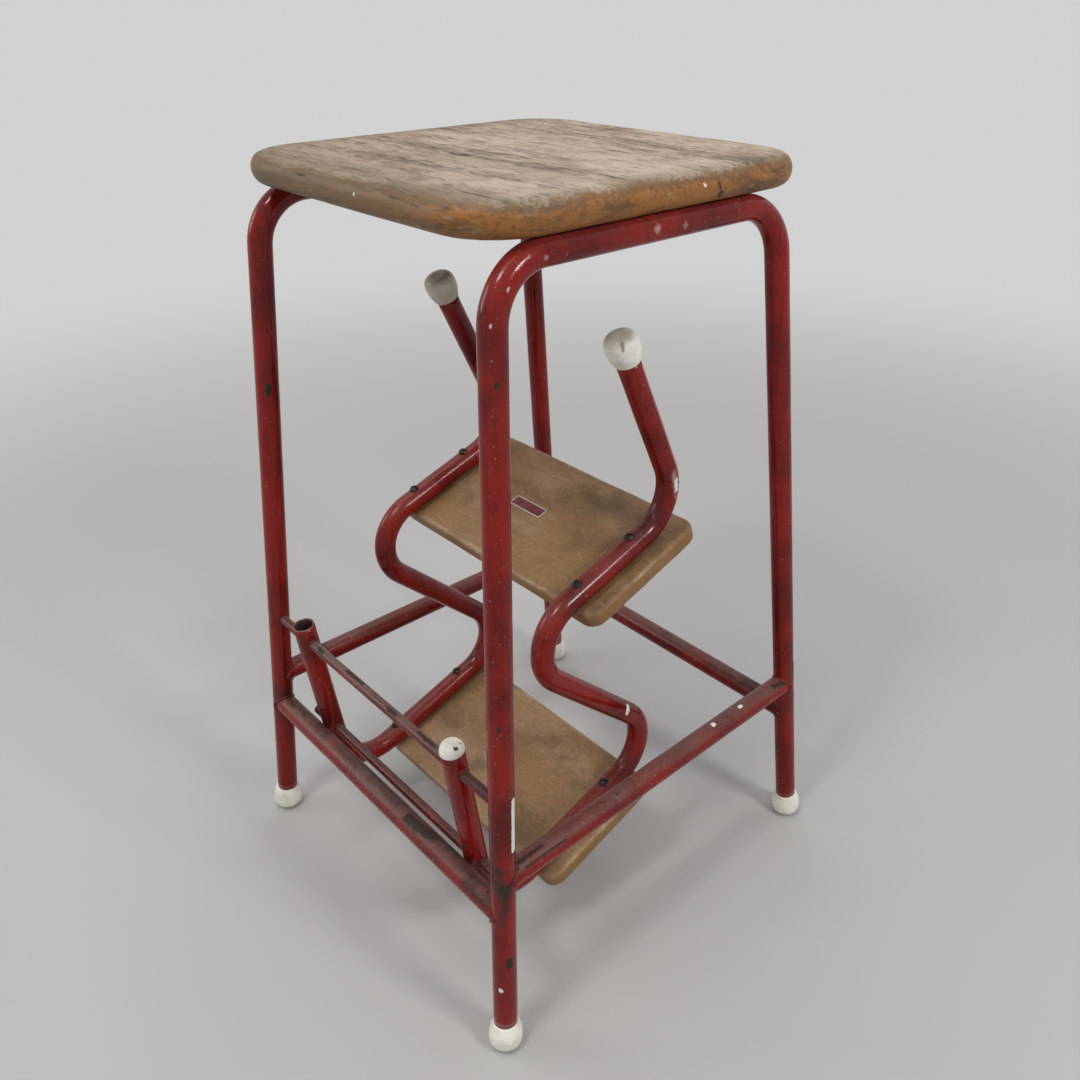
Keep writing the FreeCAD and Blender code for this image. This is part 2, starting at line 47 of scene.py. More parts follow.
clearance = 0.00005
tube = {"radius": 0.010, "wall": 0.0015, "sides": 48, "step": 0.007, "bendStep": 0.003,
        "wobble": 0.00012, "wobbleScale": 28, "castBack": 0.03}
legs = {"acrossFloor": 0.18875, "alongFloor": 0.19275, "lean": math.radians(3.5),
        "slope": math.radians(4.93), "capHeight": 0.026, "lineTop": 0.5}
sideFrame = {"railHeight": 0.640, "bend": 0.044}
stretchers = {"sideHeight": 0.1735, "endHeight": 0.1385, "sink": 0.0002, "chips": 0.55,
              "dustAndSheen": {"front": 0.95, "rear": 0.8, "left": 0.7, "right": 0.85}}
rail = {"x": 0.1165, "bend": 0.042, "tilt": math.radians(18.85), "fold": math.radians(161.15),
        "foot": (0.01254, 0.53287), "a": (0.07788, 0.38648), "b": (-0.11679, 0.32002),
        "c": (0.07043, 0.13879), "d": (-0.15197, 0.06286), "top": (-0.17393, 0.26088)}
rods = {"radius": 0.0045, "pivot": (-0.171837, 0.242), "tie": (-0.16004, 0.13565),
        "pivotEnd": 0.1788, "tieEnd": 0.149, "pivotRim": 0.0008, "tieRim": 0.0030,
        "sides": 32, "parts": 40, "wobble": 0.0001, "wobbleScale": 40}


# Small tools

def legPoint(side, end, height):
    along = height / math.cos(legs["lean"])
    x = legs["acrossFloor"] - height * math.tan(legs["lean"])
    y = legs["alongFloor"] - along * math.tan(legs["slope"])
    return Vector((side * x, end * y, height))


def railPoint(side, key):
    return Vector((side * rail["x"], *rail[key]))


def legLine(side, end):
    return legPoint(side, end, 0), legPoint(side, end, legs["lineTop"])


def frameFor(axis, origin):
    turn = Vector((0, 0, 1)).rotation_difference(axis.normalized())
    return Matrix.Translation(origin) @ turn.to_matrix().to_4x4()


def only(kind, items):
    return [item for item in items if isinstance(item, kind)]


def everything(bm):
    return list(bm.verts) + list(bm.edges) + list(bm.faces)


def addTo(target, bm):
    mesh = bpy.data.meshes.new("part")
    bm.to_mesh(mesh)
    bm.free()
    target.from_mesh(mesh)
    bpy.data.meshes.remove(mesh)


def finishPiece(bm, name, body, materials, replaced=(), smooth=True):
    for face in bm.faces:
        face.smooth = smooth
    mesh = bpy.data.meshes.new(name)
    bm.to_mesh(mesh)
    bm.free()
    piece = bpy.data.objects.new(name, mesh)
    bpy.context.scene.collection.objects.link(piece)
    for material in materials:
        mesh.materials.append(material)
    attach(piece, body)
    if replaced:
        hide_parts(*replaced)
    return piece


def surfaceAhead(start, course, axisStart, axisEnd, radius):
    # distance from start, along course, to the side of a round bar
    along = (axisEnd - axisStart).normalized()
    gap = start - axisStart
    a = course - along * course.dot(along)
    b = gap - along * gap.dot(along)
    half = a.dot(b)
    inside = half * half - a.dot(a) * (b.dot(b) - radius * radius)
    return (-half - math.sqrt(max(inside, 0.0))) / a.dot(a)


def smoothBump(distance, reach):
    share = max(0.0, 1 - distance / reach)
    return share * share * (3 - 2 * share)


# Material nodes

def addNode(tree, kind, inputs=None, **settings):
    node = tree.nodes.new("ShaderNode" + kind)
    for key, value in settings.items():
        setattr(node, key, value)
    for key, value in (inputs or {}).items():
        if isinstance(value, bpy.types.NodeSocket):
            tree.links.new(value, node.inputs[key])
        else:
            node.inputs[key].default_value = value
    return node


def newMaterial(name):
    material = bpy.data.materials.new(name)
    material.use_nodes = True
    tree = material.node_tree
    tree.nodes.clear()
    output = tree.nodes.new("ShaderNodeOutputMaterial")
    shader = tree.nodes.new("ShaderNodeBsdfPrincipled")
    tree.links.new(shader.outputs["BSDF"], output.inputs["Surface"])
    coords = tree.nodes.new("ShaderNodeTexCoord")
    return material, tree, shader, coords


def calc(tree, kind, a, b, clamp=False):
    return addNode(tree, "Math", {0: a, 1: b}, operation=kind, use_clamp=clamp).outputs[0]


def times(tree, a, b):
    return calc(tree, "MULTIPLY", a, b)


def vectorCalc(tree, kind, a, b=(0, 0, 0)):
    node = addNode(tree, "VectorMath", {0: a, 1: b}, operation=kind)
    return node.outputs["Value" if kind in ("DISTANCE", "DOT_PRODUCT", "LENGTH") else "Vector"]


def mixColor(tree, share, a, b, kind="MIX"):
    node = addNode(tree, "Mix", {0: share, 6: a, 7: b}, data_type="RGBA", blend_type=kind)
    return node.outputs[2]


def span(tree, value, low, high, outLow=0.0, outHigh=1.0):
    node = addNode(tree, "MapRange", {0: value, 1: low, 2: high, 3: outLow, 4: outHigh},
                   interpolation_type="SMOOTHSTEP")
    return node.outputs[0]


def grainNoise(tree, vector, scale, detail=3.0, roughness=0.55, distortion=0.0):
    node = addNode(tree, "TexNoise", {"Vector": vector, "Scale": scale, "Detail": detail,
                                      "Roughness": roughness, "Distortion": distortion})
    return node.outputs[0]


def stretched(tree, vector, scale, offset=(0, 0, 0)):
    node = addNode(tree, "Mapping", {"Vector": vector, "Scale": scale, "Location": offset})
    return node.outputs[0]


def mark(tree, position, start, end, radius, ragged, soft):
    # 1 inside a rough-edged patch round the line from start to end, 0 outside
    start = Vector(start)
    line = Vector(end) - start
    gap = vectorCalc(tree, "SUBTRACT", position, start)
    share = vectorCalc(tree, "DOT_PRODUCT", gap, line / line.length_squared)
    share = calc(tree, "ADD", share, 0.0, clamp=True)
    along = addNode(tree, "VectorMath", {0: line, "Scale": share}, operation="SCALE").outputs[0]
    distance = vectorCalc(tree, "DISTANCE", gap, along)
    rough = grainNoise(tree, position, 1.1 / radius, 4.0, 0.65)
    rough = times(tree, calc(tree, "SUBTRACT", rough, 0.5), 2 * ragged * radius)
    distance = calc(tree, "ADD", distance, rough)
    return span(tree, distance, radius, radius * (1 - soft), 0.0, 1.0)


def bumpFrom(tree, height, strength, distance, normal=None):
    inputs = {"Height": height, "Strength": strength, "Distance": distance}
    if normal:
        inputs["Normal"] = normal
    return addNode(tree, "Bump", inputs).outputs[0]


enamel = {"deep": (0.098, 0.0046, 0.0038, 1), "bright": (0.240, 0.0100, 0.0062, 1),
          "dustAndSheen": (0.135, 0.088, 0.074, 1), "bare": (0.026, 0.0165, 0.0115, 1),
          "rust": (0.070, 0.030, 0.016, 1), "fleck": (0.36, 0.24, 0.20, 1),
          "white": (0.74, 0.73, 0.70, 1), "grime": (0.046, 0.022, 0.017, 1),
          "rub": (0.42, 0.25, 0.225, 1), "cream": (0.50, 0.40, 0.33, 1)}


def enamelMaterial(name, dustAndSheen=0.35, chips=0.3, dark=0.0, marks=()):
    material, tree, shader, coords = newMaterial(name)
    position, facing = coords.outputs["Object"], coords.outputs["Normal"]
    cloud = grainNoise(tree, position, 16, 3.0, 0.55)
    color = mixColor(tree, span(tree, cloud, 0.28 + dark, 0.62 + dark), enamel["deep"], enamel["bright"])
    streak = grainNoise(tree, stretched(tree, position, (210, 210, 18)), 1.0, 4.0, 0.6)
    color = mixColor(tree, span(tree, streak, 0.48, 0.70, 0.0, 0.55), color, enamel["deep"])
    # brown dust on what faces up, in a fine grain; this mask is also a painted sheen, making the tops
    # paler as if lit from above
    upward = addNode(tree, "SeparateXYZ", {0: facing}).outputs[2]
    grain = calc(tree, "ADD", grainNoise(tree, position, 330, 4.0, 0.75),
                 times(tree, grainNoise(tree, position, 34, 3.0), 0.9))
    topDustAndSheen = times(tree, span(tree, upward, 0.20, 1.0), span(tree, grain, 0.66, 1.20, 0.35, 1.0))
    topDustAndSheen = times(tree, topDustAndSheen, dustAndSheen)
    color = mixColor(tree, topDustAndSheen, color, enamel["dustAndSheen"])
    # chips down to dark steel, with a rusty edge
    where = times(tree, grainNoise(tree, position, 17, 2.0), 0.35)
    chipNoise = calc(tree, "ADD", grainNoise(tree, position, 120, 8.0, 0.74), where)
    low = 0.922 - 0.10 * chips
    color = mixColor(tree, span(tree, chipNoise, low - 0.022, low, 0.0, 0.8), color, enamel["rust"])
    chipped = span(tree, chipNoise, low, low + 0.012)
    color = mixColor(tree, chipped, color, enamel["bare"])
    pits = span(tree, grainNoise(tree, position, 340, 3.0), 0.655, 0.685, 0.0, 0.5 + 0.4 * chips)
    color = mixColor(tree, pits, color, enamel["bare"])
    flecks = span(tree, grainNoise(tree, stretched(tree, position, (1, 1, 1), (3, 7, 5)), 360, 3.0, 0.6),
                  0.672, 0.705, 0.0, 0.35 + 0.55 * dustAndSheen)
    color = mixColor(tree, flecks, color, enamel["fleck"])
    relief = times(tree, calc(tree, "ADD", chipped, times(tree, pits, 0.5)), -1.0)
    crust = grainNoise(tree, position, 800, 5.0, 0.7)
    worn = calc(tree, "MAXIMUM", chipped, topDustAndSheen)
    for kind, start, end, radius, ragged in marks:
        if kind in ("grime", "rub", "dustAndSheen"):
            patch = mark(tree, position, start, end, radius, ragged, 0.9)
            patch = times(tree, patch, span(tree, grain, 0.66, 1.02, 0.25, 0.9))
            color = mixColor(tree, patch, color, enamel[kind])
        elif kind == "bare":
            halo = mark(tree, position, start, end, radius * 1.35, ragged, 0.5)
            patch = mark(tree, position, start, end, radius, ragged, 0.2)
            tone = mixColor(tree, span(tree, crust, 0.48, 0.66), enamel["bare"], enamel["rust"])
            tone = mixColor(tree, span(tree, crust, 0.66, 0.72), tone, enamel["dustAndSheen"])
            color = mixColor(tree, times(tree, halo, 0.7), color, enamel["grime"])
            color = mixColor(tree, patch, color, tone)
            lift = times(tree, patch, calc(tree, "SUBTRACT", crust, 0.75))
            relief = calc(tree, "ADD", relief, lift)
        else:
            patch = mark(tree, position, start, end, radius, ragged, 0.15)
            color = mixColor(tree, patch, color, enamel[kind])
            relief = calc(tree, "ADD", relief, patch)
        worn = calc(tree, "MAXIMUM", worn, times(tree, patch, 0.9))
    tree.links.new(color, shader.inputs["Base Color"])
    rough = calc(tree, "ADD", span(tree, cloud, 0.2, 0.8, 0.07, 0.16),
                 times(tree, worn, 0.5), clamp=True)
    tree.links.new(rough, shader.inputs["Roughness"])
    skin = bumpFrom(tree, grainNoise(tree, position, 130, 2.0), 0.12, 0.0006)
    skin = bumpFrom(tree, relief, 0.7, 0.0003, skin)
    tree.links.new(skin, shader.inputs["Normal"])
    shader.inputs["IOR"].default_value = 1.34
    return material


def plainMetal(name, color, spots, metallic, roughness):
    material, tree, shader, coords = newMaterial(name)
    position = coords.outputs["Object"]
    patch = span(tree, grainNoise(tree, position, 420, 5.0, 0.7), 0.42, 0.62)
    tree.links.new(mixColor(tree, patch, color, spots), shader.inputs["Base Color"])
    tree.links.new(span(tree, patch, 0.0, 1.0, roughness, roughness + 0.25), shader.inputs["Roughness"])
    shader.inputs["Metallic"].default_value = metallic
    tree.links.new(bumpFrom(tree, grainNoise(tree, position, 900, 3.0), 0.3, 0.0003),
                   shader.inputs["Normal"])
    return material


ivory = {"shade": (0.74, 0.70, 0.58, 1), "light": (0.88, 0.865, 0.78, 1),
         "brown": (0.175, 0.115, 0.058, 1), "smudgeAndShade": (0.34, 0.285, 0.20, 1),
         "speck": (0.10, 0.075, 0.055, 1), "hole": (0.025, 0.019, 0.015, 1)}


def capMaterial(name, axis, grime, marks=()):
    material, tree, shader, coords = newMaterial(name)
    position, facing = coords.outputs["Object"], coords.outputs["Normal"]
    cloud = grainNoise(tree, position, 60, 5.0, 0.6)
    color = mixColor(tree, span(tree, cloud, 0.34, 0.60), ivory["shade"], ivory["light"])
    # soft brown dirt, thickest in the middle of the end, with smudges below; both grow with grime, and
    # on the left rail's cap, where grime is highest, they are partly painted shade
    ahead = vectorCalc(tree, "DOT_PRODUCT", facing, axis)
    dirtAndShade = times(tree, span(tree, ahead, 0.35, 1.0),
                 span(tree, grainNoise(tree, position, 90, 6.0, 0.7), 0.22, 0.70, 0.25, 1.0))
    dirtAndShade = times(tree, dirtAndShade, grime)
    color = mixColor(tree, dirtAndShade, color, ivory["brown"])
    smudgeAndShade = span(tree, grainNoise(tree, stretched(tree, position, (80, 80, 200)), 1.0, 6.0, 0.72),
                  0.54, 0.76, 0.0, 0.20 + 0.5 * grime)
    color = mixColor(tree, smudgeAndShade, color, ivory["smudgeAndShade"])
    specks = span(tree, grainNoise(tree, position, 800, 2.0), 0.71, 0.735, 0.0, 0.7)
    color = mixColor(tree, specks, color, ivory["speck"])
    relief = grainNoise(tree, position, 300, 3.0)
    for kind, start, end, radius, rough in marks:
        patch = mark(tree, position, start, end, radius, rough, 0.25 if kind == "hole" else 0.8)
        color = mixColor(tree, patch, color, ivory[kind])
        if kind == "hole":
            relief = calc(tree, "SUBTRACT", relief, times(tree, patch, 2.0))
    tree.links.new(color, shader.inputs["Base Color"])
    tree.links.new(span(tree, cloud, 0.2, 0.8, 0.34, 0.55), shader.inputs["Roughness"])
    tree.links.new(bumpFrom(tree, relief, 0.25, 0.0008), shader.inputs["Normal"])
    return material


seatWood = {"pale": (0.445, 0.356, 0.278, 1), "mid": (0.315, 0.250, 0.186, 1),
            "grey": (0.205, 0.174, 0.126, 1), "olive": (0.150, 0.108, 0.058, 1),
            "dark": (0.092, 0.068, 0.044, 1), "fleck": (0.034, 0.024, 0.017, 1),
            "honey": (0.300, 0.122, 0.028, 1), "umber": (0.098, 0.056, 0.021, 1),
            "worn": (0.330, 0.255, 0.160, 1), "cream": (0.78, 0.74, 0.64, 1),
            "moss": (0.122, 0.080, 0.034, 1)}


def seatMaterial(name, marks):
    material, tree, shader, coords = newMaterial(name)
    position = coords.outputs["Object"]
    parts = addNode(tree, "SeparateXYZ", {0: position})
    across, along, height = parts.outputs[0], parts.outputs[1], parts.outputs[2]
    fibre = grainNoise(tree, stretched(tree, position, (22, 760, 760)), 1.0, 4.0, 0.7)
    bands = grainNoise(tree, stretched(tree, position, (3.2, 34, 34), (0.3, 0, 0)), 1.0, 6.0, 0.7, 0.3)
    blotch = grainNoise(tree, stretched(tree, position, (9, 16, 16), (1, 4, 2)), 1.0, 6.0, 0.7, 0.4)
    streaks = grainNoise(tree, stretched(tree, position, (42, 300, 300), (5, 1, 3)), 1.0, 6.0, 0.75)
    # bare weathered top: pale, with grey bands and short dark streaks along the grain
    # painted reflection: the top is made paler towards the back and darker towards the front, as the
    # backdrop's sheen falls on it
    front = calc(tree, "ADD", blotch, times(tree, along, -0.55))
    top = mixColor(tree, span(tree, front, 0.40, 0.62), seatWood["pale"], seatWood["mid"])
    top = mixColor(tree, span(tree, bands, 0.50, 0.66, 0.0, 0.80), top, seatWood["grey"])
    top = mixColor(tree, span(tree, fibre, 0.46, 0.72, 0.0, 0.52), top, seatWood["olive"])
    dirty = calc(tree, "ADD", streaks, times(tree, bands, 0.55))
    dirty = calc(tree, "ADD", dirty, times(tree, blotch, 0.25))
    top = mixColor(tree, span(tree, dirty, 0.890, 1.00, 0.0, 0.80), top, seatWood["dark"])
    flecks = span(tree, dirty, 1.035, 1.08)
    top = mixColor(tree, flecks, top, seatWood["fleck"])
    # darker, dirtier margins: wide at the front and left, narrow elsewhere
    stray = calc(tree, "SUBTRACT", calc(tree, "ADD", bands, streaks), 1.0)
    x = calc(tree, "ADD", across, times(tree, stray, 0.055))
    y = calc(tree, "ADD", along, times(tree, stray, 0.050))
    margin = calc(tree, "MAXIMUM", span(tree, x, -0.115, -0.156, 0.0, 0.50),
                  span(tree, y, -0.105, -0.147, 0.0, 0.55))
    margin = calc(tree, "MAXIMUM", margin, span(tree, x, 0.132, 0.160, 0.0, 0.40))
    margin = calc(tree, "MAXIMUM", margin, span(tree, y, 0.148, 0.172, 0.0, 0.45))
    top = mixColor(tree, margin, top, seatWood["olive"])
    # old varnish left on the edge
    edgeTone = grainNoise(tree, stretched(tree, position, (15, 17, 70), (2, 2, 2)), 1.0, 6.0, 0.7, 0.3)
    edge = mixColor(tree, span(tree, edgeTone, 0.44, 0.64), seatWood["honey"], seatWood["umber"])
    edge = mixColor(tree, span(tree, streaks, 0.50, 0.66, 0.0, 0.65), edge, seatWood["umber"])
    frontSide = span(tree, across, 0.125, 0.060, 0.0, 0.70)
    edge = mixColor(tree, frontSide, edge, seatWood["moss"])
    rubbed = grainNoise(tree, stretched(tree, position, (46, 46, 120), (7, 3, 1)), 1.0, 6.0, 0.75)
    edge = mixColor(tree, span(tree, rubbed, 0.57, 0.68, 0.0, 0.65), edge, seatWood["worn"])
    ragged = times(tree, calc(tree, "SUBTRACT", edgeTone, 0.5), 0.016)
    fine = times(tree, calc(tree, "SUBTRACT", streaks, 0.5), 0.022)
    level = calc(tree, "ADD", height, calc(tree, "ADD", ragged, fine))
    bare = span(tree, level, 0.6685, 0.6725)
    rim = times(tree, span(tree, level, 0.6645, 0.6690), span(tree, level, 0.6735, 0.6700))
    color = mixColor(tree, bare, edge, top)
    color = mixColor(tree, times(tree, rim, 0.55), color, seatWood["umber"])
    relief = calc(tree, "SUBTRACT", times(tree, fibre, 0.6), flecks)
    for kind, start, end, radius, rough in marks:
        patch = mark(tree, position, start, end, radius, rough, 0.3)
        color = mixColor(tree, patch, color, seatWood[kind])
        if kind == "fleck":
            relief = calc(tree, "SUBTRACT", relief, times(tree, patch, 3.0))
    tree.links.new(color, shader.inputs["Base Color"])
    tree.links.new(span(tree, bare, 0.0, 1.0, 0.44, 0.80), shader.inputs["Roughness"])
    tree.links.new(bumpFrom(tree, relief, 0.6, 0.0006), shader.inputs["Normal"])
    shader.inputs["Specular IOR Level"].default_value = 0.35
    return material


stepWood = {"base": (0.285, 0.158, 0.068, 1), "light": (0.365, 0.230, 0.124, 1),
            "dark": (0.155, 0.092, 0.042, 1), "stain": (0.050, 0.030, 0.017, 1),
            "worn": (0.480, 0.375, 0.255, 1), "honey": (0.255, 0.130, 0.042, 1)}


def stepMaterial(name, centre, half, seed):
    # centre is the middle of the board, half its half sizes across, along and through
    material, tree, shader, coords = newMaterial(name)
    position = coords.outputs["Object"]
    gap = vectorCalc(tree, "SUBTRACT", position, centre)
    local = addNode(tree, "VectorRotate", {"Vector": gap, "Angle": -rail["tilt"]},
                    rotation_type="X_AXIS").outputs[0]
    shift = (seed, seed * 2, seed * 3)
    fibre = grainNoise(tree, stretched(tree, local, (26, 520, 520), shift), 1.0, 4.0, 0.65)
    bands = grainNoise(tree, stretched(tree, local, (6, 22, 22), shift), 1.0, 5.0, 0.6, 0.6)
    blotch = grainNoise(tree, stretched(tree, local, (19, 21, 20), shift), 1.0, 6.0, 0.65, 0.3)
    mottle = grainNoise(tree, stretched(tree, local, (190, 330, 330), shift), 1.0, 5.0, 0.75)
    color = mixColor(tree, span(tree, bands, 0.38, 0.64), stepWood["base"], stepWood["light"])
    color = mixColor(tree, span(tree, blotch, 0.47, 0.68, 0.0, 0.75), color, stepWood["dark"])
    color = mixColor(tree, span(tree, mottle, 0.44, 0.66, 0.0, 0.45), color, stepWood["dark"])
    color = mixColor(tree, span(tree, fibre, 0.50, 0.74, 0.0, 0.30), color, stepWood["dark"])
    # short pale nicks and fine scratches
    for number, angle in enumerate((0.55, -0.95, 0.1)):
        turned = addNode(tree, "VectorRotate", {"Vector": local, "Angle": angle},
                         rotation_type="Z_AXIS").outputs[0]
        scratch = grainNoise(tree, stretched(tree, turned, (120, 900, 900), (seed + number, 0, 0)),
                             1.0, 2.0)
        color = mixColor(tree, span(tree, scratch, 0.700, 0.745, 0.0, 0.80), color, stepWood["worn"])
    stains = span(tree, grainNoise(tree, stretched(tree, local, (1, 1, 1), shift), 95, 7.0, 0.78),
                  0.685, 0.725, 0.0, 0.85)
    color = mixColor(tree, stains, color, stepWood["stain"])
    # rims: honey sides, and pale worn corners where two faces meet
    sizes = vectorCalc(tree, "DIVIDE", vectorCalc(tree, "ABSOLUTE", local), half)
    parts = addNode(tree, "SeparateXYZ", {0: sizes})
    inX, inY, inZ = [times(tree, calc(tree, "SUBTRACT", 1.0, parts.outputs[axis]), half[axis])
                     for axis in range(3)]
    inSide = calc(tree, "MINIMUM", inX, inY)
    side = span(tree, inSide, 0.0030, 0.0008)
    color = mixColor(tree, times(tree, side, 0.8), color, stepWood["honey"])
    depth = calc(tree, "ADD", inSide, inZ)
    wobble = times(tree, calc(tree, "SUBTRACT", blotch, 0.5), 0.008)
    arris = span(tree, calc(tree, "ADD", depth, wobble), 0.0044, 0.0022, 0.0, 0.60)
    arris = times(tree, arris, span(tree, mottle, 0.66, 0.48, 0.2, 1.0))
    color = mixColor(tree, arris, color, stepWood["worn"])
    tree.links.new(color, shader.inputs["Base Color"])
    tree.links.new(span(tree, blotch, 0.3, 0.7, 0.38, 0.58), shader.inputs["Roughness"])
    tree.links.new(bumpFrom(tree, calc(tree, "SUBTRACT", fibre, stains), 0.3, 0.0005),
                   shader.inputs["Normal"])
    shader.inputs["Specular IOR Level"].default_value = 0.35
    return material


plate = {"red": (0.130, 0.020, 0.020, 1), "faded": (0.230, 0.062, 0.054, 1),
         "rim": (0.62, 0.56, 0.50, 1), "rimWorn": (0.46, 0.38, 0.33, 1)}


def plateMaterial(name):
    material, tree, shader, coords = newMaterial(name)
    position = coords.outputs["Object"]
    fade = span(tree, grainNoise(tree, position, 160, 5.0, 0.7), 0.42, 0.66)
    color = mixColor(tree, fade, plate["red"], plate["faded"])
    tree.links.new(color, shader.inputs["Base Color"])
    tree.links.new(span(tree, fade, 0.0, 1.0, 0.30, 0.5), shader.inputs["Roughness"])
    return material


# Bent tubes

def runStraight(bm, front, travel):
    count = max(1, round(travel.length / tube["step"]))
    for number in range(count):
        front = bmesh.ops.extrude_edge_only(bm, edges=only(bmesh.types.BMEdge, front))["geom"]
        front = only((bmesh.types.BMVert, bmesh.types.BMEdge), front)
        bmesh.ops.translate(bm, vec=travel / count, verts=only(bmesh.types.BMVert, front))
    return front


def tubeShell(corners, bend):
    bm = bmesh.new()
    course = (corners[1] - corners[0]).normalized()
    ring = bmesh.ops.create_circle(bm, segments=tube["sides"], radius=tube["radius"])["verts"]
    bmesh.ops.transform(bm, matrix=frameFor(course, corners[0]), verts=ring)
    front = ring + list(bm.edges)
    here = corners[0]
    for before, corner, after in zip(corners, corners[1:], corners[2:]):
        course = (corner - before).normalized()
        leaving = (after - corner).normalized()
        angle = course.angle(leaving)
        reach = bend * math.tan(angle / 2)
        front = runStraight(bm, front, corner - course * reach - here)
        axis = course.cross(leaving).normalized()
        centre = corner - course * reach + axis.cross(course) * bend
        front = bmesh.ops.spin(bm, geom=front, cent=centre, axis=axis, dvec=(0, 0, 0), angle=angle,
                               steps=max(6, round(angle * bend / tube["bendStep"])), use_merge=False,
                               use_duplicate=False)["geom_last"]
        here = corner + leaving * reach
    front = runStraight(bm, front, corners[-1] - here)
    bmesh.ops.recalc_face_normals(bm, faces=bm.faces)
    first = ring[0]
    bm.normal_update()
    if first.normal.dot(first.co - corners[0]) < 0:
        bmesh.ops.reverse_faces(bm, faces=bm.faces)
    return bm, ring, only(bmesh.types.BMVert, front)


def wobble(bm, amount=tube["wobble"], scale=tube["wobbleScale"]):
    bm.normal_update()
    for vert in bm.verts:
        vert.co += vert.normal * noise.noise(vert.co * scale) * amount


def dent(bm, centre, reach, depth):
    centre = Vector(centre)
    bm.normal_update()
    for vert in bm.verts:
        vert.co -= vert.normal * depth * smoothBump((vert.co - centre).length, reach)


def giveWall(piece, inner=0, rim=0):
    wall = piece.modifiers.new("wall", "SOLIDIFY")
    wall.thickness = tube["wall"]
    wall.offset = -1
    wall.material_offset = inner
    wall.material_offset_rim = rim


sideNames = {-1: "left", 1: "right"}
endNames = {-1: "front", 1: "rear"}

frameMarks = {
    -1: [("bare", (-0.150, -0.1545, 0.482), (-0.1503, -0.1553, 0.4755), 0.0026, 1.1),
         ("grime", (-0.179, -0.180, 0.152), (-0.179, -0.180, 0.132), 0.018, 0.9),
         ("grime", (-0.1765, -0.175, 0.242), (-0.165, -0.172, 0.242), 0.008, 0.8),
         ("grime", (-0.178, 0.178, 0.150), (-0.178, 0.176, 0.185), 0.016, 0.9)],
    1: [("grime", (0.183, -0.184, 0.190), (0.186, -0.187, 0.140), 0.0085, 1.1),
        ("bare", (0.1885, -0.1830, 0.1735), (0.1897, -0.1833, 0.1670), 0.0056, 1.4),
        ("bare", (0.1900, -0.1845, 0.166), (0.1912, -0.1860, 0.1500), 0.0034, 1.7),
        ("cream", (0.1598, -0.1330, 0.6260), (0.1602, -0.1342, 0.6242), 0.0008, 1.8),
        ("cream", (0.1600, -0.1240, 0.6360), (0.1598, -0.1248, 0.6354), 0.0008, 1.8),
        ("cream", (0.1588, -0.1470, 0.6060), (0.1590, -0.1476, 0.6045), 0.0008, 1.8),
        ("bare", (0.1765, -0.1870, 0.205), (0.1780, -0.1885, 0.178), 0.0022, 1.6),
        ("bare", (0.1830, -0.1920, 0.162), (0.1850, -0.1935, 0.150), 0.0030, 1.7),
        ("bare", (0.1925, -0.1866, 0.100), (0.1925, -0.1868, 0.095), 0.0032, 1.2),
        ("bare", (0.1764, -0.1722, 0.3198), (0.1764, -0.1722, 0.317), 0.0014, 1.2),
        ("bare", (0.1629, -0.1480, 0.5699), (0.1630, -0.1482, 0.567), 0.0012, 1.2),
        ("white", (0.1824, -0.1667, 0.2516), (0.1855, -0.1714, 0.2073), 0.0027, 0.45),
        ("white", (0.1897, -0.1953, 0.0702), (0.1899, -0.1953, 0.0690), 0.0019, 1.4),
        ("bare", (0.1863, 0.1793, 0.2010), (0.1866, 0.1800, 0.1900), 0.0030, 1.4),
        ("grime", (0.180, 0.178, 0.190), (0.182, 0.180, 0.150), 0.014, 0.9),
        ("rub", (0.1595, -0.0038, 0.6412), (0.1595, -0.0030, 0.6412), 0.0042, 0.8),
        ("rub", (0.1596, 0.0238, 0.6397), (0.1596, 0.0245, 0.6397), 0.0032, 0.9),
        ("rub", (0.1595, -0.1026, 0.6383), (0.1595, -0.1020, 0.6383), 0.0028, 0.8),
        ("rub", (0.1590, -0.1150, 0.6420), (0.1590, -0.1165, 0.6410), 0.0018, 1.6)]}
frameDents = {-1: [], 1: [((0.1595, -0.0038, 0.6412), 0.008, 0.0009),
                          ((0.1596, 0.0238, 0.6397), 0.006, 0.0007),
                          ((0.1595, -0.1026, 0.6383), 0.006, 0.0006)]}

for side, sideName in sideNames.items():
    corners = [legPoint(side, -1, legs["capHeight"]), legPoint(side, -1, sideFrame["railHeight"]),
               legPoint(side, 1, sideFrame["railHeight"]), legPoint(side, 1, legs["capHeight"])]
    bm = tubeShell(corners, sideFrame["bend"])[0]
    wobble(bm)
    for centre, reach, depth in frameDents[side]:
        dent(bm, centre, reach, depth)
    paint = enamelMaterial(sideName + "FrameEnamel", dustAndSheen=0.25, chips=0.32, marks=frameMarks[side])
    piece = finishPiece(bm, sideName + "_side_tube", "frame", [paint],
                        [sideName + "_side_frame"])
    giveWall(piece)
print("side frames made")

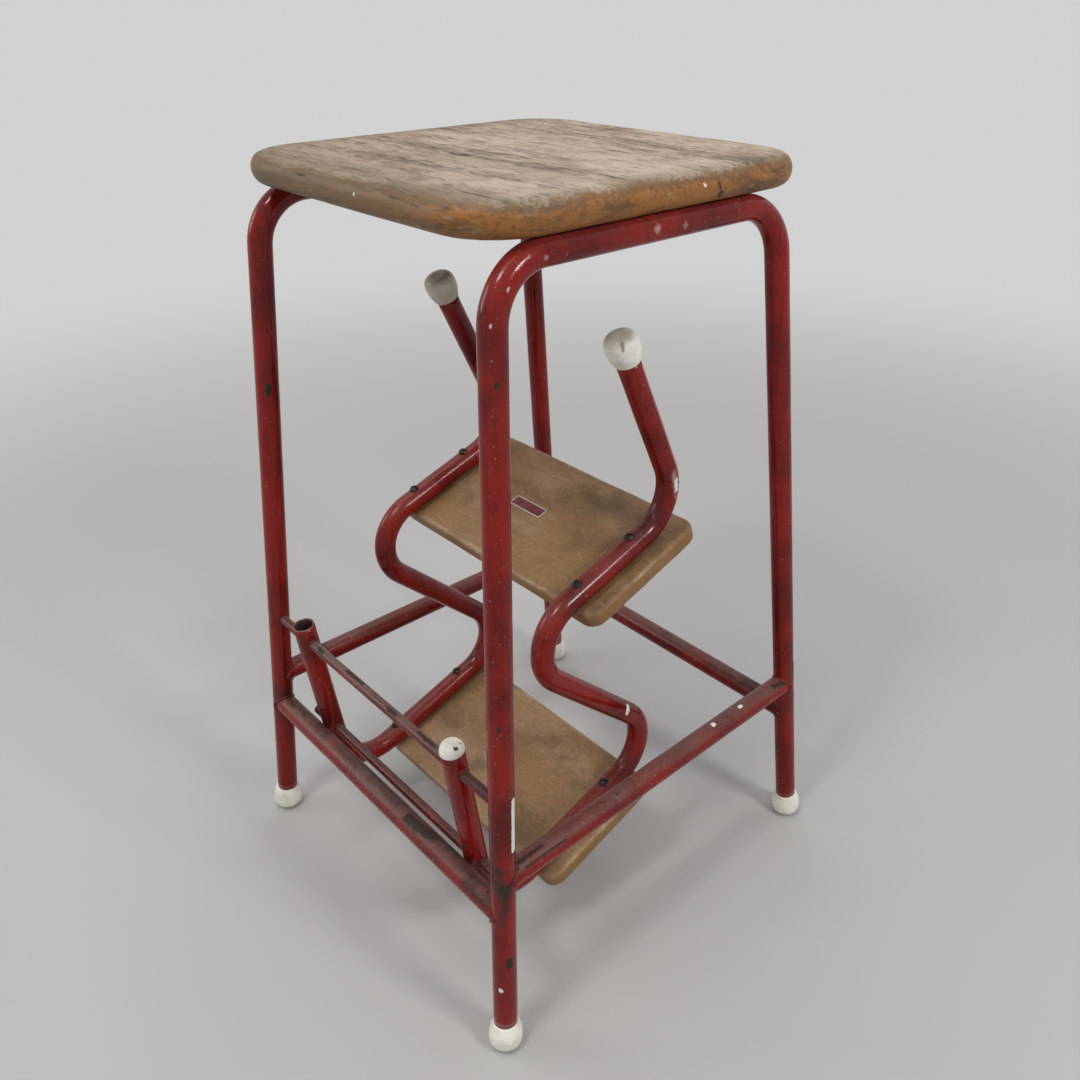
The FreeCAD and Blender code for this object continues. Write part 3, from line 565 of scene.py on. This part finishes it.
stretcherMarks = {
    "front": [("grime", (-0.165, -0.179, 0.1455), (0.165, -0.179, 0.1455), 0.0085, 0.9),
              ("bare", (0.052, -0.1834, 0.1482), (0.082, -0.1800, 0.1484), 0.0048, 1.5),
              ("bare", (0.080, -0.1760, 0.1470), (0.112, -0.1760, 0.1470), 0.0020, 2.2),
              ("grime", (0.140, -0.188, 0.146), (0.168, -0.188, 0.144), 0.0075, 1.2),
              ("bare", (-0.060, -0.176, 0.147), (0.040, -0.176, 0.147), 0.0012, 2.6)],
    "rear": [("grime", (0.130, 0.180, 0.147), (0.168, 0.180, 0.145), 0.010, 1.0)],
    "left": [("grime", (-0.178, -0.160, 0.180), (-0.178, -0.130, 0.182), 0.010, 1.0)],
    "right": [("white", (0.1798, 0.1065, 0.1834), (0.1800, 0.1080, 0.1834), 0.0022, 0.9),
              ("white", (0.1792, 0.0687, 0.1834), (0.1792, 0.0695, 0.1834), 0.0026, 0.9),
              ("bare", (0.180, -0.168, 0.183), (0.180, -0.140, 0.183), 0.0016, 2.8),
              ("bare", (0.186, -0.160, 0.180), (0.186, -0.120, 0.180), 0.0010, 3.0),
              ("bare", (0.182, 0.155, 0.182), (0.184, 0.168, 0.180), 0.0026, 1.9)]}


def stretcherTube(name, start, end, legAtStart, legAtEnd):
    bm, ring, front = tubeShell([start, end], 0)
    course = (end - start).normalized()
    for verts, way, leg in ((ring, -course, legAtStart), (front, course, legAtEnd)):
        for vert in verts:
            origin = vert.co - way * tube["castBack"]
            reach = surfaceAhead(origin, way, *leg, tube["radius"] - stretchers["sink"])
            vert.co = origin + way * reach
    wobble(bm)
    paint = enamelMaterial(name + "Enamel", dustAndSheen=stretchers["dustAndSheen"][name],
                           chips=stretchers["chips"], marks=stretcherMarks[name])
    piece = finishPiece(bm, name + "_stretcher_tube", "frame", [paint],
                        [name + "_stretcher"])
    giveWall(piece)


joints = []
for end, endName in endNames.items():
    low = [legPoint(side, end, stretchers["endHeight"]) for side in sideNames]
    lines = [legLine(side, end) for side in sideNames]
    stretcherTube(endName, *low, *lines)
    joints += [(Vector((-1, 0, 0)), lines[0], low[0]), (Vector((1, 0, 0)), lines[1], low[1])]
for side, sideName in sideNames.items():
    high = [legPoint(side, end, stretchers["sideHeight"]) for end in endNames]
    lines = [legLine(side, end) for end in endNames]
    stretcherTube(sideName, *high, *lines)
    joints += [(Vector((0, -1, 0)), lines[0], high[0]), (Vector((0, 1, 0)), lines[1], high[1])]
print("stretchers made")

# Weld beads follow the curve where one tube meets another

bead = {"legRadius": 0.0016, "rodRadius": 0.0011, "around": 56, "section": 10, "lumpScale": 240,
        "lumpShare": 0.45}


def weldBead(target, course, line, meeting, tubeRadius, otherRadius, size):
    bm = bmesh.new()
    hub = meeting - course * tube["castBack"]
    ring = bmesh.ops.create_circle(bm, segments=bead["section"], radius=size)["verts"]
    place = frameFor(course, hub)
    lift = place @ Matrix.Translation((tubeRadius, 0, 0)) @ Matrix.Rotation(math.pi / 2, 4, "X")
    bmesh.ops.transform(bm, matrix=lift, verts=ring)
    bmesh.ops.spin(bm, geom=ring + list(bm.edges), cent=hub, axis=course, dvec=(0, 0, 0),
                   angle=2 * math.pi, steps=bead["around"], use_merge=True, use_duplicate=False)
    bmesh.ops.remove_doubles(bm, verts=bm.verts, dist=1e-6)
    for vert in bm.verts:
        along = course * (vert.co - hub).dot(course)
        outward = (vert.co - hub - along).normalized()
        base = hub + outward * tubeRadius
        vert.co += course * surfaceAhead(base, course, *line, otherRadius)
    bmesh.ops.recalc_face_normals(bm, faces=bm.faces)
    bm.normal_update()
    for vert in bm.verts:
        vert.co += vert.normal * noise.noise(vert.co * bead["lumpScale"]) * size * bead["lumpShare"]
    addTo(target, bm)


weldPaint = enamelMaterial("weldEnamel", dustAndSheen=0.5, chips=0.9, dark=0.12)
bm = bmesh.new()
for course, line, meeting in joints:
    weldBead(bm, course, line, meeting, tube["radius"], tube["radius"], bead["legRadius"])
finishPiece(bm, "frame_welds", "frame", [weldPaint])
print("frame welds made")

# Step rails

railMarks = {
    -1: [("bare", (-0.116, 0.030, 0.352), (-0.116, 0.034, 0.352), 0.0035, 1.2),
         ("grime", (-0.1165, -0.165, 0.155), (-0.1165, -0.162, 0.120), 0.012, 0.9)],
    1: [("white", (0.1252, 0.0135, 0.2050), (0.1256, 0.0095, 0.2000), 0.0030, 0.7),
        ("rub", (0.1265, 0.060, 0.4255), (0.1243, 0.0637, 0.4028), 0.0042, 1.1),
        ("white", (0.1262, 0.0630, 0.4180), (0.1250, 0.0637, 0.4080), 0.0024, 1.4),
        ("grime", (0.1165, -0.165, 0.155), (0.1165, -0.162, 0.120), 0.012, 0.9),
        ("grime", (0.118, -0.018, 0.110), (0.118, -0.010, 0.112), 0.010, 1.0)]}
rimMetal = plainMetal("wornRim", (0.120, 0.020, 0.016, 1), (0.300, 0.190, 0.150, 1), 0.0, 0.4)
# inside of the rail tubes, seen in the open post: dark rust, made darker still as painted shade in the
# bore
boreRustAndShade = plainMetal("boreRustAndShade", (0.040, 0.007, 0.006, 1), (0.016, 0.008, 0.006, 1), 0.0, 0.75)
for side, sideName in sideNames.items():
    corners = [railPoint(side, key) for key in ("foot", "a", "b", "c", "d", "top")]
    bm = tubeShell(corners, rail["bend"])[0]
    wobble(bm)
    paint = enamelMaterial(sideName + "RailEnamel", dustAndSheen=0.45, chips=0.40, marks=railMarks[side])
    piece = finishPiece(bm, sideName + "_rail_tube", "steps", [paint, boreRustAndShade, rimMetal],
                        [sideName + "_rail"])
    giveWall(piece, inner=1, rim=2)
print("step rails made")

# Rods

# the dust strip along the top of the pivot rod is partly a painted sheen
rodMarks = [("dustAndSheen", (-0.108, -0.1720, 0.2468), (0.108, -0.1720, 0.2468), 0.0064, 0.9),
            ("bare", (-0.092, -0.1735, 0.2460), (-0.086, -0.1735, 0.2460), 0.0020, 1.8),
            ("bare", (-0.046, -0.1720, 0.2464), (-0.020, -0.1715, 0.2464), 0.0014, 2.4),
            ("bare", (0.022, -0.1735, 0.2462), (0.034, -0.1735, 0.2462), 0.0018, 2.0),
            ("bare", (0.066, -0.1720, 0.2464), (0.088, -0.1720, 0.2464), 0.0014, 2.4),
            ("grime", (0.126, -0.172, 0.244), (0.175, -0.172, 0.244), 0.010, 0.5),
            ("grime", (-0.150, -0.160, 0.138), (-0.126, -0.160, 0.138), 0.010, 0.5),
            ("grime", (-0.100, -0.157, 0.138), (0.100, -0.157, 0.138), 0.0060, 0.8)]
rodPaint = enamelMaterial("rodEnamel", dustAndSheen=0.7, chips=0.55, dark=0.18, marks=rodMarks)


def rodPiece(name, place, half, rim, node):
    bm = bmesh.new()
    centre = Vector((0, *place))
    ring = bmesh.ops.create_circle(bm, cap_ends=True, segments=rods["sides"],
                                   radius=rods["radius"])["verts"]
    face = list(bm.faces)
    start = centre - Vector((half, 0, 0))
    bmesh.ops.transform(bm, matrix=frameFor(Vector((1, 0, 0)), start), verts=ring)
    for number in range(rods["parts"]):
        grown = bmesh.ops.extrude_face_region(bm, geom=face)["geom"]
        if number:
            bmesh.ops.delete(bm, geom=face, context="FACES")
        face = only(bmesh.types.BMFace, grown)
        bmesh.ops.translate(bm, vec=(2 * half / rods["parts"], 0, 0),
                            verts=only(bmesh.types.BMVert, grown))
    bmesh.ops.recalc_face_normals(bm, faces=bm.faces)
    rims = [edge for edge in bm.edges
            if all(abs(abs(vert.co.x) - half) < 1e-6 for vert in edge.verts)]
    bmesh.ops.bevel(bm, geom=rims, offset=rim, segments=5, profile=0.5, affect="EDGES",
                    material=-1)
    wobble(bm, rods["wobble"], rods["wobbleScale"])
    finishPiece(bm, name, "steps", [rodPaint], [node])


rodPiece("pivot_rod_bar", rods["pivot"], rods["pivotEnd"], rods["pivotRim"], "pivot_rod")
rodPiece("tie_rod_bar", rods["tie"], rods["tieEnd"], rods["tieRim"], "tie_rod")
bm = bmesh.new()
for side in (-1, 1):
    line = (railPoint(side, "d"), railPoint(side, "top"))
    for place in (rods["pivot"], rods["tie"]):
        meeting = Vector((side * rail["x"], *place))
        for way in (-1, 1):
            weldBead(bm, Vector((way, 0, 0)), line, meeting, rods["radius"], tube["radius"],
                     bead["rodRadius"])
finishPiece(bm, "rod_welds", "steps", [weldPaint])
print("rods made")

# Foot caps and the post's cap

cap = {"profile": [(0.0, -0.018), (0.0084, -0.018), (0.0084, 0.0002), (0.0106, 0.0000),
                   (0.0111, 0.0004), (0.0114, 0.0014), (0.0121, 0.0034), (0.0129, 0.0058),
                   (0.0136, 0.0084), (0.0141, 0.0112), (0.01425, 0.0140), (0.0142, 0.0168),
                   (0.0139, 0.0192), (0.0132, 0.0212), (0.0119, 0.0229), (0.01025, 0.0242),
                   (0.0084, 0.0250), (0.0062, 0.0255), (0.0034, 0.0259), (0.0, 0.0260)],
       "sides": 64, "tip": 0.0262, "floorGap": 0.0003,
       # the left rail's cap gets the most grime: its darker tone is partly painted shade, as it sits in
       # the seat's shadow
       "grime": {"leg": 0.35, "left": 1.0, "right": 0.45}}


def spinProfile(points, place, sides):
    bm = bmesh.new()
    verts = [bm.verts.new((radius, 0, height)) for radius, height in points]
    edges = [bm.edges.new(pair) for pair in zip(verts, verts[1:])]
    bmesh.ops.spin(bm, geom=verts + edges, cent=(0, 0, 0), axis=(0, 0, 1), dvec=(0, 0, 0),
                   angle=2 * math.pi, steps=sides, use_merge=True, use_duplicate=False)
    bmesh.ops.remove_doubles(bm, verts=bm.verts, dist=1e-6)
    bmesh.ops.recalc_face_normals(bm, faces=bm.faces)
    bm.transform(place)
    return bm


def capPiece(name, node, body, tubeEnd, outward, floorPoint, floorNormal, grime, marks=()):
    bm = spinProfile(cap["profile"], frameFor(outward, tubeEnd + outward * clearance), cap["sides"])
    cut = bmesh.ops.bisect_plane(bm, geom=everything(bm), dist=1e-6, plane_co=floorPoint,
                                 plane_no=floorNormal, clear_inner=True)
    bmesh.ops.contextual_create(bm, geom=only(bmesh.types.BMEdge, cut["geom_cut"]))
    bmesh.ops.recalc_face_normals(bm, faces=bm.faces)
    plastic = capMaterial(name + "Plastic", outward, grime, marks)
    finishPiece(bm, name, body, [plastic], [node])


for side, sideName in sideNames.items():
    for end, endName in endNames.items():
        tubeEnd = legPoint(side, end, legs["capHeight"])
        outward = (legPoint(side, end, 0) - tubeEnd).normalized()
        node = endName + "_" + sideName + "_foot"
        capPiece(node + "_cap", node, "frame", tubeEnd, outward, (0, 0, 0), (0, 0, 1),
                 cap["grime"]["leg"])

# The rail caps are cut by the floor as it lies to them with the steps out
pivot = Vector((0, *rods["pivot"]))
turnBack = Matrix.Rotation(-rail["fold"], 3, "X")
floorUp = turnBack @ Vector((0, 0, 1))
floorSpot = pivot + turnBack @ (Vector((0, 0, cap["floorGap"])) - pivot)
for side, sideName in sideNames.items():
    tubeEnd = railPoint(side, "foot")
    outward = (tubeEnd - railPoint(side, "a")).normalized()
    node = sideName + "_rail_foot"
    tip = tubeEnd + outward * cap["tip"]
    if side > 0:
        dirtAndShade = [("smudgeAndShade", tip + Vector((0.009, -0.004, -0.004)),
                 tip + Vector((0.012, -0.006, -0.010)), 0.0022, 1.2)]
    else:
        # painted shadow: a smudge over the whole left cap and a brown tip darken it as the seat's shade
        # would
        dirtAndShade = [("smudgeAndShade", tubeEnd, tip, 0.0230, 0.25),
                ("brown", tip, tip + Vector((0.002, 0.002, -0.004)), 0.0070, 0.8),
                ("speck", tip + Vector((0.002, -0.005, -0.005)),
                 tip + Vector((0.002, -0.006, -0.006)), 0.0020, 0.7)]
    capPiece(node + "_cap", node, "steps", tubeEnd, outward, floorSpot, floorUp,
             cap["grime"][sideName], dirtAndShade)

postCap = {"profile": [(0.0, -0.008), (0.0084, -0.008), (0.0084, 0.0), (0.0098, 0.0),
                       (0.01015, 0.0004), (0.0102, 0.0011), (0.01005, 0.0028),
                       (0.0094, 0.0050), (0.0082, 0.0071), (0.0065, 0.0087),
                       (0.0046, 0.0097), (0.0024, 0.0103), (0.0, 0.0105)],
           "grime": 0.12, "chip": (0.0068, -0.0008, 0), "chipHeight": 0.0078}
postTop = railPoint(1, "top")
postUp = (postTop - railPoint(1, "d")).normalized()
bm = spinProfile(postCap["profile"], frameFor(postUp, postTop + postUp * clearance), cap["sides"])
chip = postTop + postUp * postCap["chipHeight"] + Vector(postCap["chip"])
postDirt = [("hole", chip, chip + Vector((0.0008, 0.0008, 0)), 0.0017, 1.3),
            ("smudgeAndShade", chip + Vector((-0.0060, 0.0050, 0)),
             chip + Vector((-0.0020, 0.0060, 0)), 0.0016, 1.4)]
postPlastic = capMaterial("postPlastic", postUp, postCap["grime"], postDirt)
finishPiece(bm, "right_post_button", "steps", [postPlastic], ["right_post_cap"])
print("caps made")

# Screws: dark slotted round heads

screw = {"radius": 0.0045, "rise": 0.0032, "slot": 0.00055, "slotWall": 0.0001,
         "slotDepth": 0.0012, "slotFloor": 0.0003, "lowRim": 0.0004, "skirt": 0.00015,
         "baseShare": 0.96, "rings": 8, "sides": 28, "fromBend": 0.014,
         "turns": [0.4, 1.3, 2.2, 0.9]}
screwSteel = plainMetal("screwSteel", (0.050, 0.043, 0.038, 1), (0.020, 0.013, 0.010, 1), 0.75, 0.38)


def screwHead(target, spot, up, turn):
    rise, half, slot = screw["rise"], screw["radius"], screw["slot"]
    ball = (half ** 2 + rise ** 2) / (2 * rise)
    widest = math.asin(half / ball)
    points = [(0.0, 0.0), (half * screw["baseShare"], 0.0)]
    for number in range(screw["rings"]):
        angle = widest * (1 - number / (screw["rings"] - 1))
        height = rise - ball + ball * math.cos(angle) + screw["skirt"]
        points.append((ball * math.sin(angle), height))
    bm = spinProfile(points, Matrix.Identity(4), screw["sides"])
    outer = slot + screw["slotWall"]
    for offset in (-outer, -slot, slot, outer):
        bmesh.ops.bisect_plane(bm, geom=everything(bm), dist=1e-7, plane_co=(0, offset, 0),
                               plane_no=(0, 1, 0))
    for vert in bm.verts:
        if abs(vert.co.y) < slot + screw["slotWall"] / 2 and vert.co.z > screw["lowRim"]:
            vert.co.z = max(screw["slotFloor"], min(vert.co.z, rise - screw["slotDepth"]))
    bm.transform(frameFor(up, spot) @ Matrix.Rotation(turn, 4, "Z"))
    addTo(target, bm)


runCourse = Vector((0, math.cos(rail["tilt"]), math.sin(rail["tilt"])))
runUp = Vector((0, -math.sin(rail["tilt"]), math.cos(rail["tilt"])))


def straightPart(before, corner, after, beyond):
    # where the straight run between two bends starts and ends, from its first corner
    def reach(p, q, r):
        turn = (q - p).angle(r - q)
        return rail["bend"] * math.tan(turn / 2)
    return reach(before, corner, after), (after - corner).length - reach(corner, after, beyond)


runs = {"first": straightPart(*[railPoint(1, key) for key in ("c", "b", "a", "foot")]),
        "second": straightPart(*[railPoint(1, key) for key in ("top", "d", "c", "b")])}
runCorner = {"first": "b", "second": "d"}
for step, (near, far) in runs.items():
    bm = bmesh.new()
    places = [(side, along) for side in sideNames
              for along in (near + screw["fromBend"], far - screw["fromBend"])]
    for turn, (side, along) in zip(screw["turns"], places):
        spot = railPoint(side, runCorner[step]) + runCourse * along + runUp * tube["radius"]
        screwHead(bm, spot, runUp, turn)
    finishPiece(bm, step + "_step_screw_heads", "steps", [screwSteel],
                [step + "_step_screws"], smooth=False)
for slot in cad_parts["seat_screws"].material_slots:
    slot.material = screwSteel
print("screws made")


# Boards

boardWear = {"inset": 0.0015, "coarse": 45, "coarseShare": 0.5, "fine": 160, "fineShare": 0.3,
             "level": 0.45}


def roundedSlab(size):
    bm = bmesh.new()
    bmesh.ops.create_grid(bm, x_segments=1, y_segments=1, size=0.5)
    bmesh.ops.scale(bm, vec=(size["width"], size["depth"], 1), verts=bm.verts)
    bmesh.ops.bevel(bm, geom=bm.verts[:], offset=size["corner"], segments=size["cornerSteps"],
                    profile=0.5, affect="VERTICES", material=-1)
    grown = bmesh.ops.extrude_face_region(bm, geom=list(bm.faces))["geom"]
    bmesh.ops.translate(bm, vec=(0, 0, size["thickness"]), verts=only(bmesh.types.BMVert, grown))
    bmesh.ops.recalc_face_normals(bm, faces=bm.faces)
    return bm


def boardMesh(size, place):
    bm = roundedSlab(size)
    outline = [edge for edge in bm.edges if abs(edge.verts[0].co.z - edge.verts[1].co.z) < 1e-6]
    bmesh.ops.bevel(bm, geom=outline, offset=size["edge"], segments=size["edgeSteps"], profile=0.5,
                    affect="EDGES", material=-1)
    broad = [face for face in bm.faces if face.calc_area() > 0.5 * size["width"] * size["depth"]]
    bmesh.ops.inset_region(bm, faces=broad, thickness=boardWear["inset"], depth=0)
    for axis, half in ((0, size["width"] / 2), (1, size["depth"] / 2)):
        for number in range(1, size["lines"]):
            centre, normal = Vector(), Vector()
            centre[axis] = -half + 2 * half * number / size["lines"]
            normal[axis] = 1
            bmesh.ops.bisect_plane(bm, geom=everything(bm), dist=1e-6, plane_co=centre,
                                   plane_no=normal)
    bm.transform(place)
    bm.normal_update()
    for vert in bm.verts:
        coarse = noise.noise(vert.co * boardWear["coarse"]) * boardWear["coarseShare"]
        worn = coarse + noise.noise(vert.co * boardWear["fine"]) * boardWear["fineShare"]
        vert.co += vert.normal * (worn - boardWear["level"]) * size["wear"]
    return bm


seat = {"width": 0.325, "depth": 0.325, "thickness": 0.024, "corner": 0.052, "cornerSteps": 14,
        "edge": 0.0112, "edgeSteps": 9, "lines": 22, "wear": 0.0005, "underside": 0.65005,
        "setback": 0.010}
seatMarks = [("fleck", (0.1628, 0.0512, 0.6695), (0.1628, 0.0580, 0.6560), 0.0011, 1.3),
             ("fleck", (0.1625, 0.0570, 0.6560), (0.1625, 0.0590, 0.6525), 0.0034, 1.3),
             ("cream", (0.1625, 0.0386, 0.6654), (0.1625, 0.0400, 0.6640), 0.0013, 1.1),
             ("cream", (0.0244, -0.1525, 0.6650), (0.0246, -0.1525, 0.6642), 0.0011, 1.1),
             ("cream", (0.1625, 0.0290, 0.6700), (0.1625, 0.0296, 0.6696), 0.0008, 1.1),
             ("dark", (-0.020, -0.040, 0.674), (-0.004, -0.040, 0.674), 0.0026, 1.4)]
place = Matrix.Translation((0, seat["setback"], seat["underside"]))
finishPiece(boardMesh(seat, place), "seat_board", "frame", [seatMaterial("seatWood", seatMarks)],
            ["seat"])

stepBoard = {"width": 0.277, "depth": 0.133, "thickness": 0.017, "corner": 0.014, "cornerSteps": 8,
             "edge": 0.0050, "edgeSteps": 6, "lines": 14, "wear": 0.0005, "fromBend": 0.002,
             "seeds": {"first": 1.7, "second": 4.8}}
half = (stepBoard["width"] / 2, stepBoard["depth"] / 2, stepBoard["thickness"] / 2)
for step, (near, far) in runs.items():
    corner = railPoint(1, runCorner[step])
    corner.x = 0
    along = near + stepBoard["fromBend"] + stepBoard["depth"] / 2
    face = corner + runCourse * along - runUp * (tube["radius"] + clearance)
    place = Matrix.Translation(face) @ Matrix.Rotation(rail["tilt"] + math.pi, 4, "X")
    centre = face - runUp * stepBoard["thickness"] / 2
    wood = stepMaterial(step + "StepWood", centre, half, stepBoard["seeds"][step])
    finishPiece(boardMesh(stepBoard, place), step + "_step_board", "steps", [wood],
                [step + "_step"])
print("boards made")

# Blank plate

low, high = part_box("blank_plate")
label = {"width": 0.042, "depth": 0.012, "thickness": 0.0006, "corner": 0.0012,
         "cornerSteps": 4, "border": 0.0011, "sink": 0.0001}
bm = roundedSlab(label)
upper = max(bm.faces, key=lambda face: face.calc_center_median().z)
bmesh.ops.inset_region(bm, faces=[upper], thickness=label["border"], depth=0)
for face in bm.faces:
    face.material_index = 1
upper.material_index = 0
for vert in upper.verts:
    vert.co.z -= label["sink"]
middle = (low + high) / 2
bm.transform(Matrix.Translation(middle - runUp * label["thickness"] / 2)
             @ Matrix.Rotation(rail["tilt"], 4, "X"))
rimPaint = plainMetal("plateRim", plate["rim"], plate["rimWorn"], 0.0, 0.45)
finishPiece(bm, "blank_label_plate", "steps", [plateMaterial("plateRed"), rimPaint],
            ["blank_plate"], smooth=False)
print("plate made")

# Stage, lights and camera

stage = {"floor": (0.47, 0.46, 0.445, 1), "back": (0.64, 0.64, 0.635, 1), "radius": 9,
         "sides": 96, "roughness": 0.9, "fade": (0.7, 2.4), "sky": (0.97, 0.98, 1.0, 1),
         "skyStrength": 0.46, "aim": (0, 0, 0.35)}


def seenDirectly(tree):
    path = addNode(tree, "LightPath")
    return calc(tree, "MAXIMUM", path.outputs["Is Camera Ray"], path.outputs["Is Glossy Ray"])


bm = bmesh.new()
bmesh.ops.create_circle(bm, cap_ends=True, segments=stage["sides"], radius=stage["radius"])
mesh = bpy.data.meshes.new("floor")
bm.to_mesh(mesh)
bm.free()
floor = bpy.data.objects.new("floor", mesh)
bpy.context.scene.collection.objects.link(floor)
floorPaint, tree, shader, coords = newMaterial("floorPaint")
mesh.materials.append(floorPaint)
shader.inputs["Base Color"].default_value = stage["floor"]
shader.inputs["Roughness"].default_value = stage["roughness"]
away = vectorCalc(tree, "LENGTH", coords.outputs["Object"])
far = times(tree, span(tree, away, *stage["fade"]), seenDirectly(tree))
glow = addNode(tree, "Emission", {"Color": stage["back"], "Strength": 1.0})
blend = addNode(tree, "MixShader", {0: far, 1: shader.outputs[0], 2: glow.outputs[0]})
output = [node for node in tree.nodes if node.bl_idname == "ShaderNodeOutputMaterial"][0]
tree.links.new(blend.outputs[0], output.inputs["Surface"])

world = bpy.data.worlds.new("studio")
bpy.context.scene.world = world
world.use_nodes = True
tree = world.node_tree
tree.nodes.clear()
soft = addNode(tree, "Background", {"Color": stage["sky"], "Strength": stage["skyStrength"]})
shown = addNode(tree, "Background", {"Color": stage["back"], "Strength": 1.0})
blend = addNode(tree, "MixShader", {0: seenDirectly(tree), 1: soft.outputs[0],
                                    2: shown.outputs[0]})
addNode(tree, "OutputWorld", {0: blend.outputs[0]})

lamps = [{"name": "overhead", "at": (-0.4, 0.1, 2.6), "size": 1.8, "power": 19},
         {"name": "frontKey", "at": (0.15, -1.20, 2.35), "size": 0.42, "power": 14},
         {"name": "rightWindow", "at": (1.80, 0.25, 1.70), "size": 0.42, "power": 17},
         {"name": "leftWindow", "at": (-1.7, -1.5, 1.3), "size": 0.9, "power": 9}]
for lamp in lamps:
    light = bpy.data.lights.new(lamp["name"], "AREA")
    light.size = lamp["size"]
    light.energy = lamp["power"]
    holder = bpy.data.objects.new(lamp["name"], light)
    bpy.context.scene.collection.objects.link(holder)
    holder.location = lamp["at"]
    aim = Vector(stage["aim"]) - holder.location
    holder.rotation_euler = aim.to_track_quat("-Z", "Y").to_euler()

view = {"at": (0.61627, -0.49181, 0.78655), "azimuth": 46.66, "elevation": 28.07,
        "lens": 32.68, "shift": (-0.0521, -0.0314)}
camera = bpy.data.objects.new("camera", bpy.data.cameras.new("camera"))
bpy.context.scene.collection.objects.link(camera)
camera.location = view["at"]
camera.rotation_euler = (math.radians(90 - view["elevation"]), 0, math.radians(view["azimuth"]))
camera.data.lens = view["lens"]
camera.data.shift_x, camera.data.shift_y = view["shift"]
bpy.context.scene.camera = camera
bpy.context.scene.view_settings.view_transform = "Standard"
print("stage, lights and camera made")
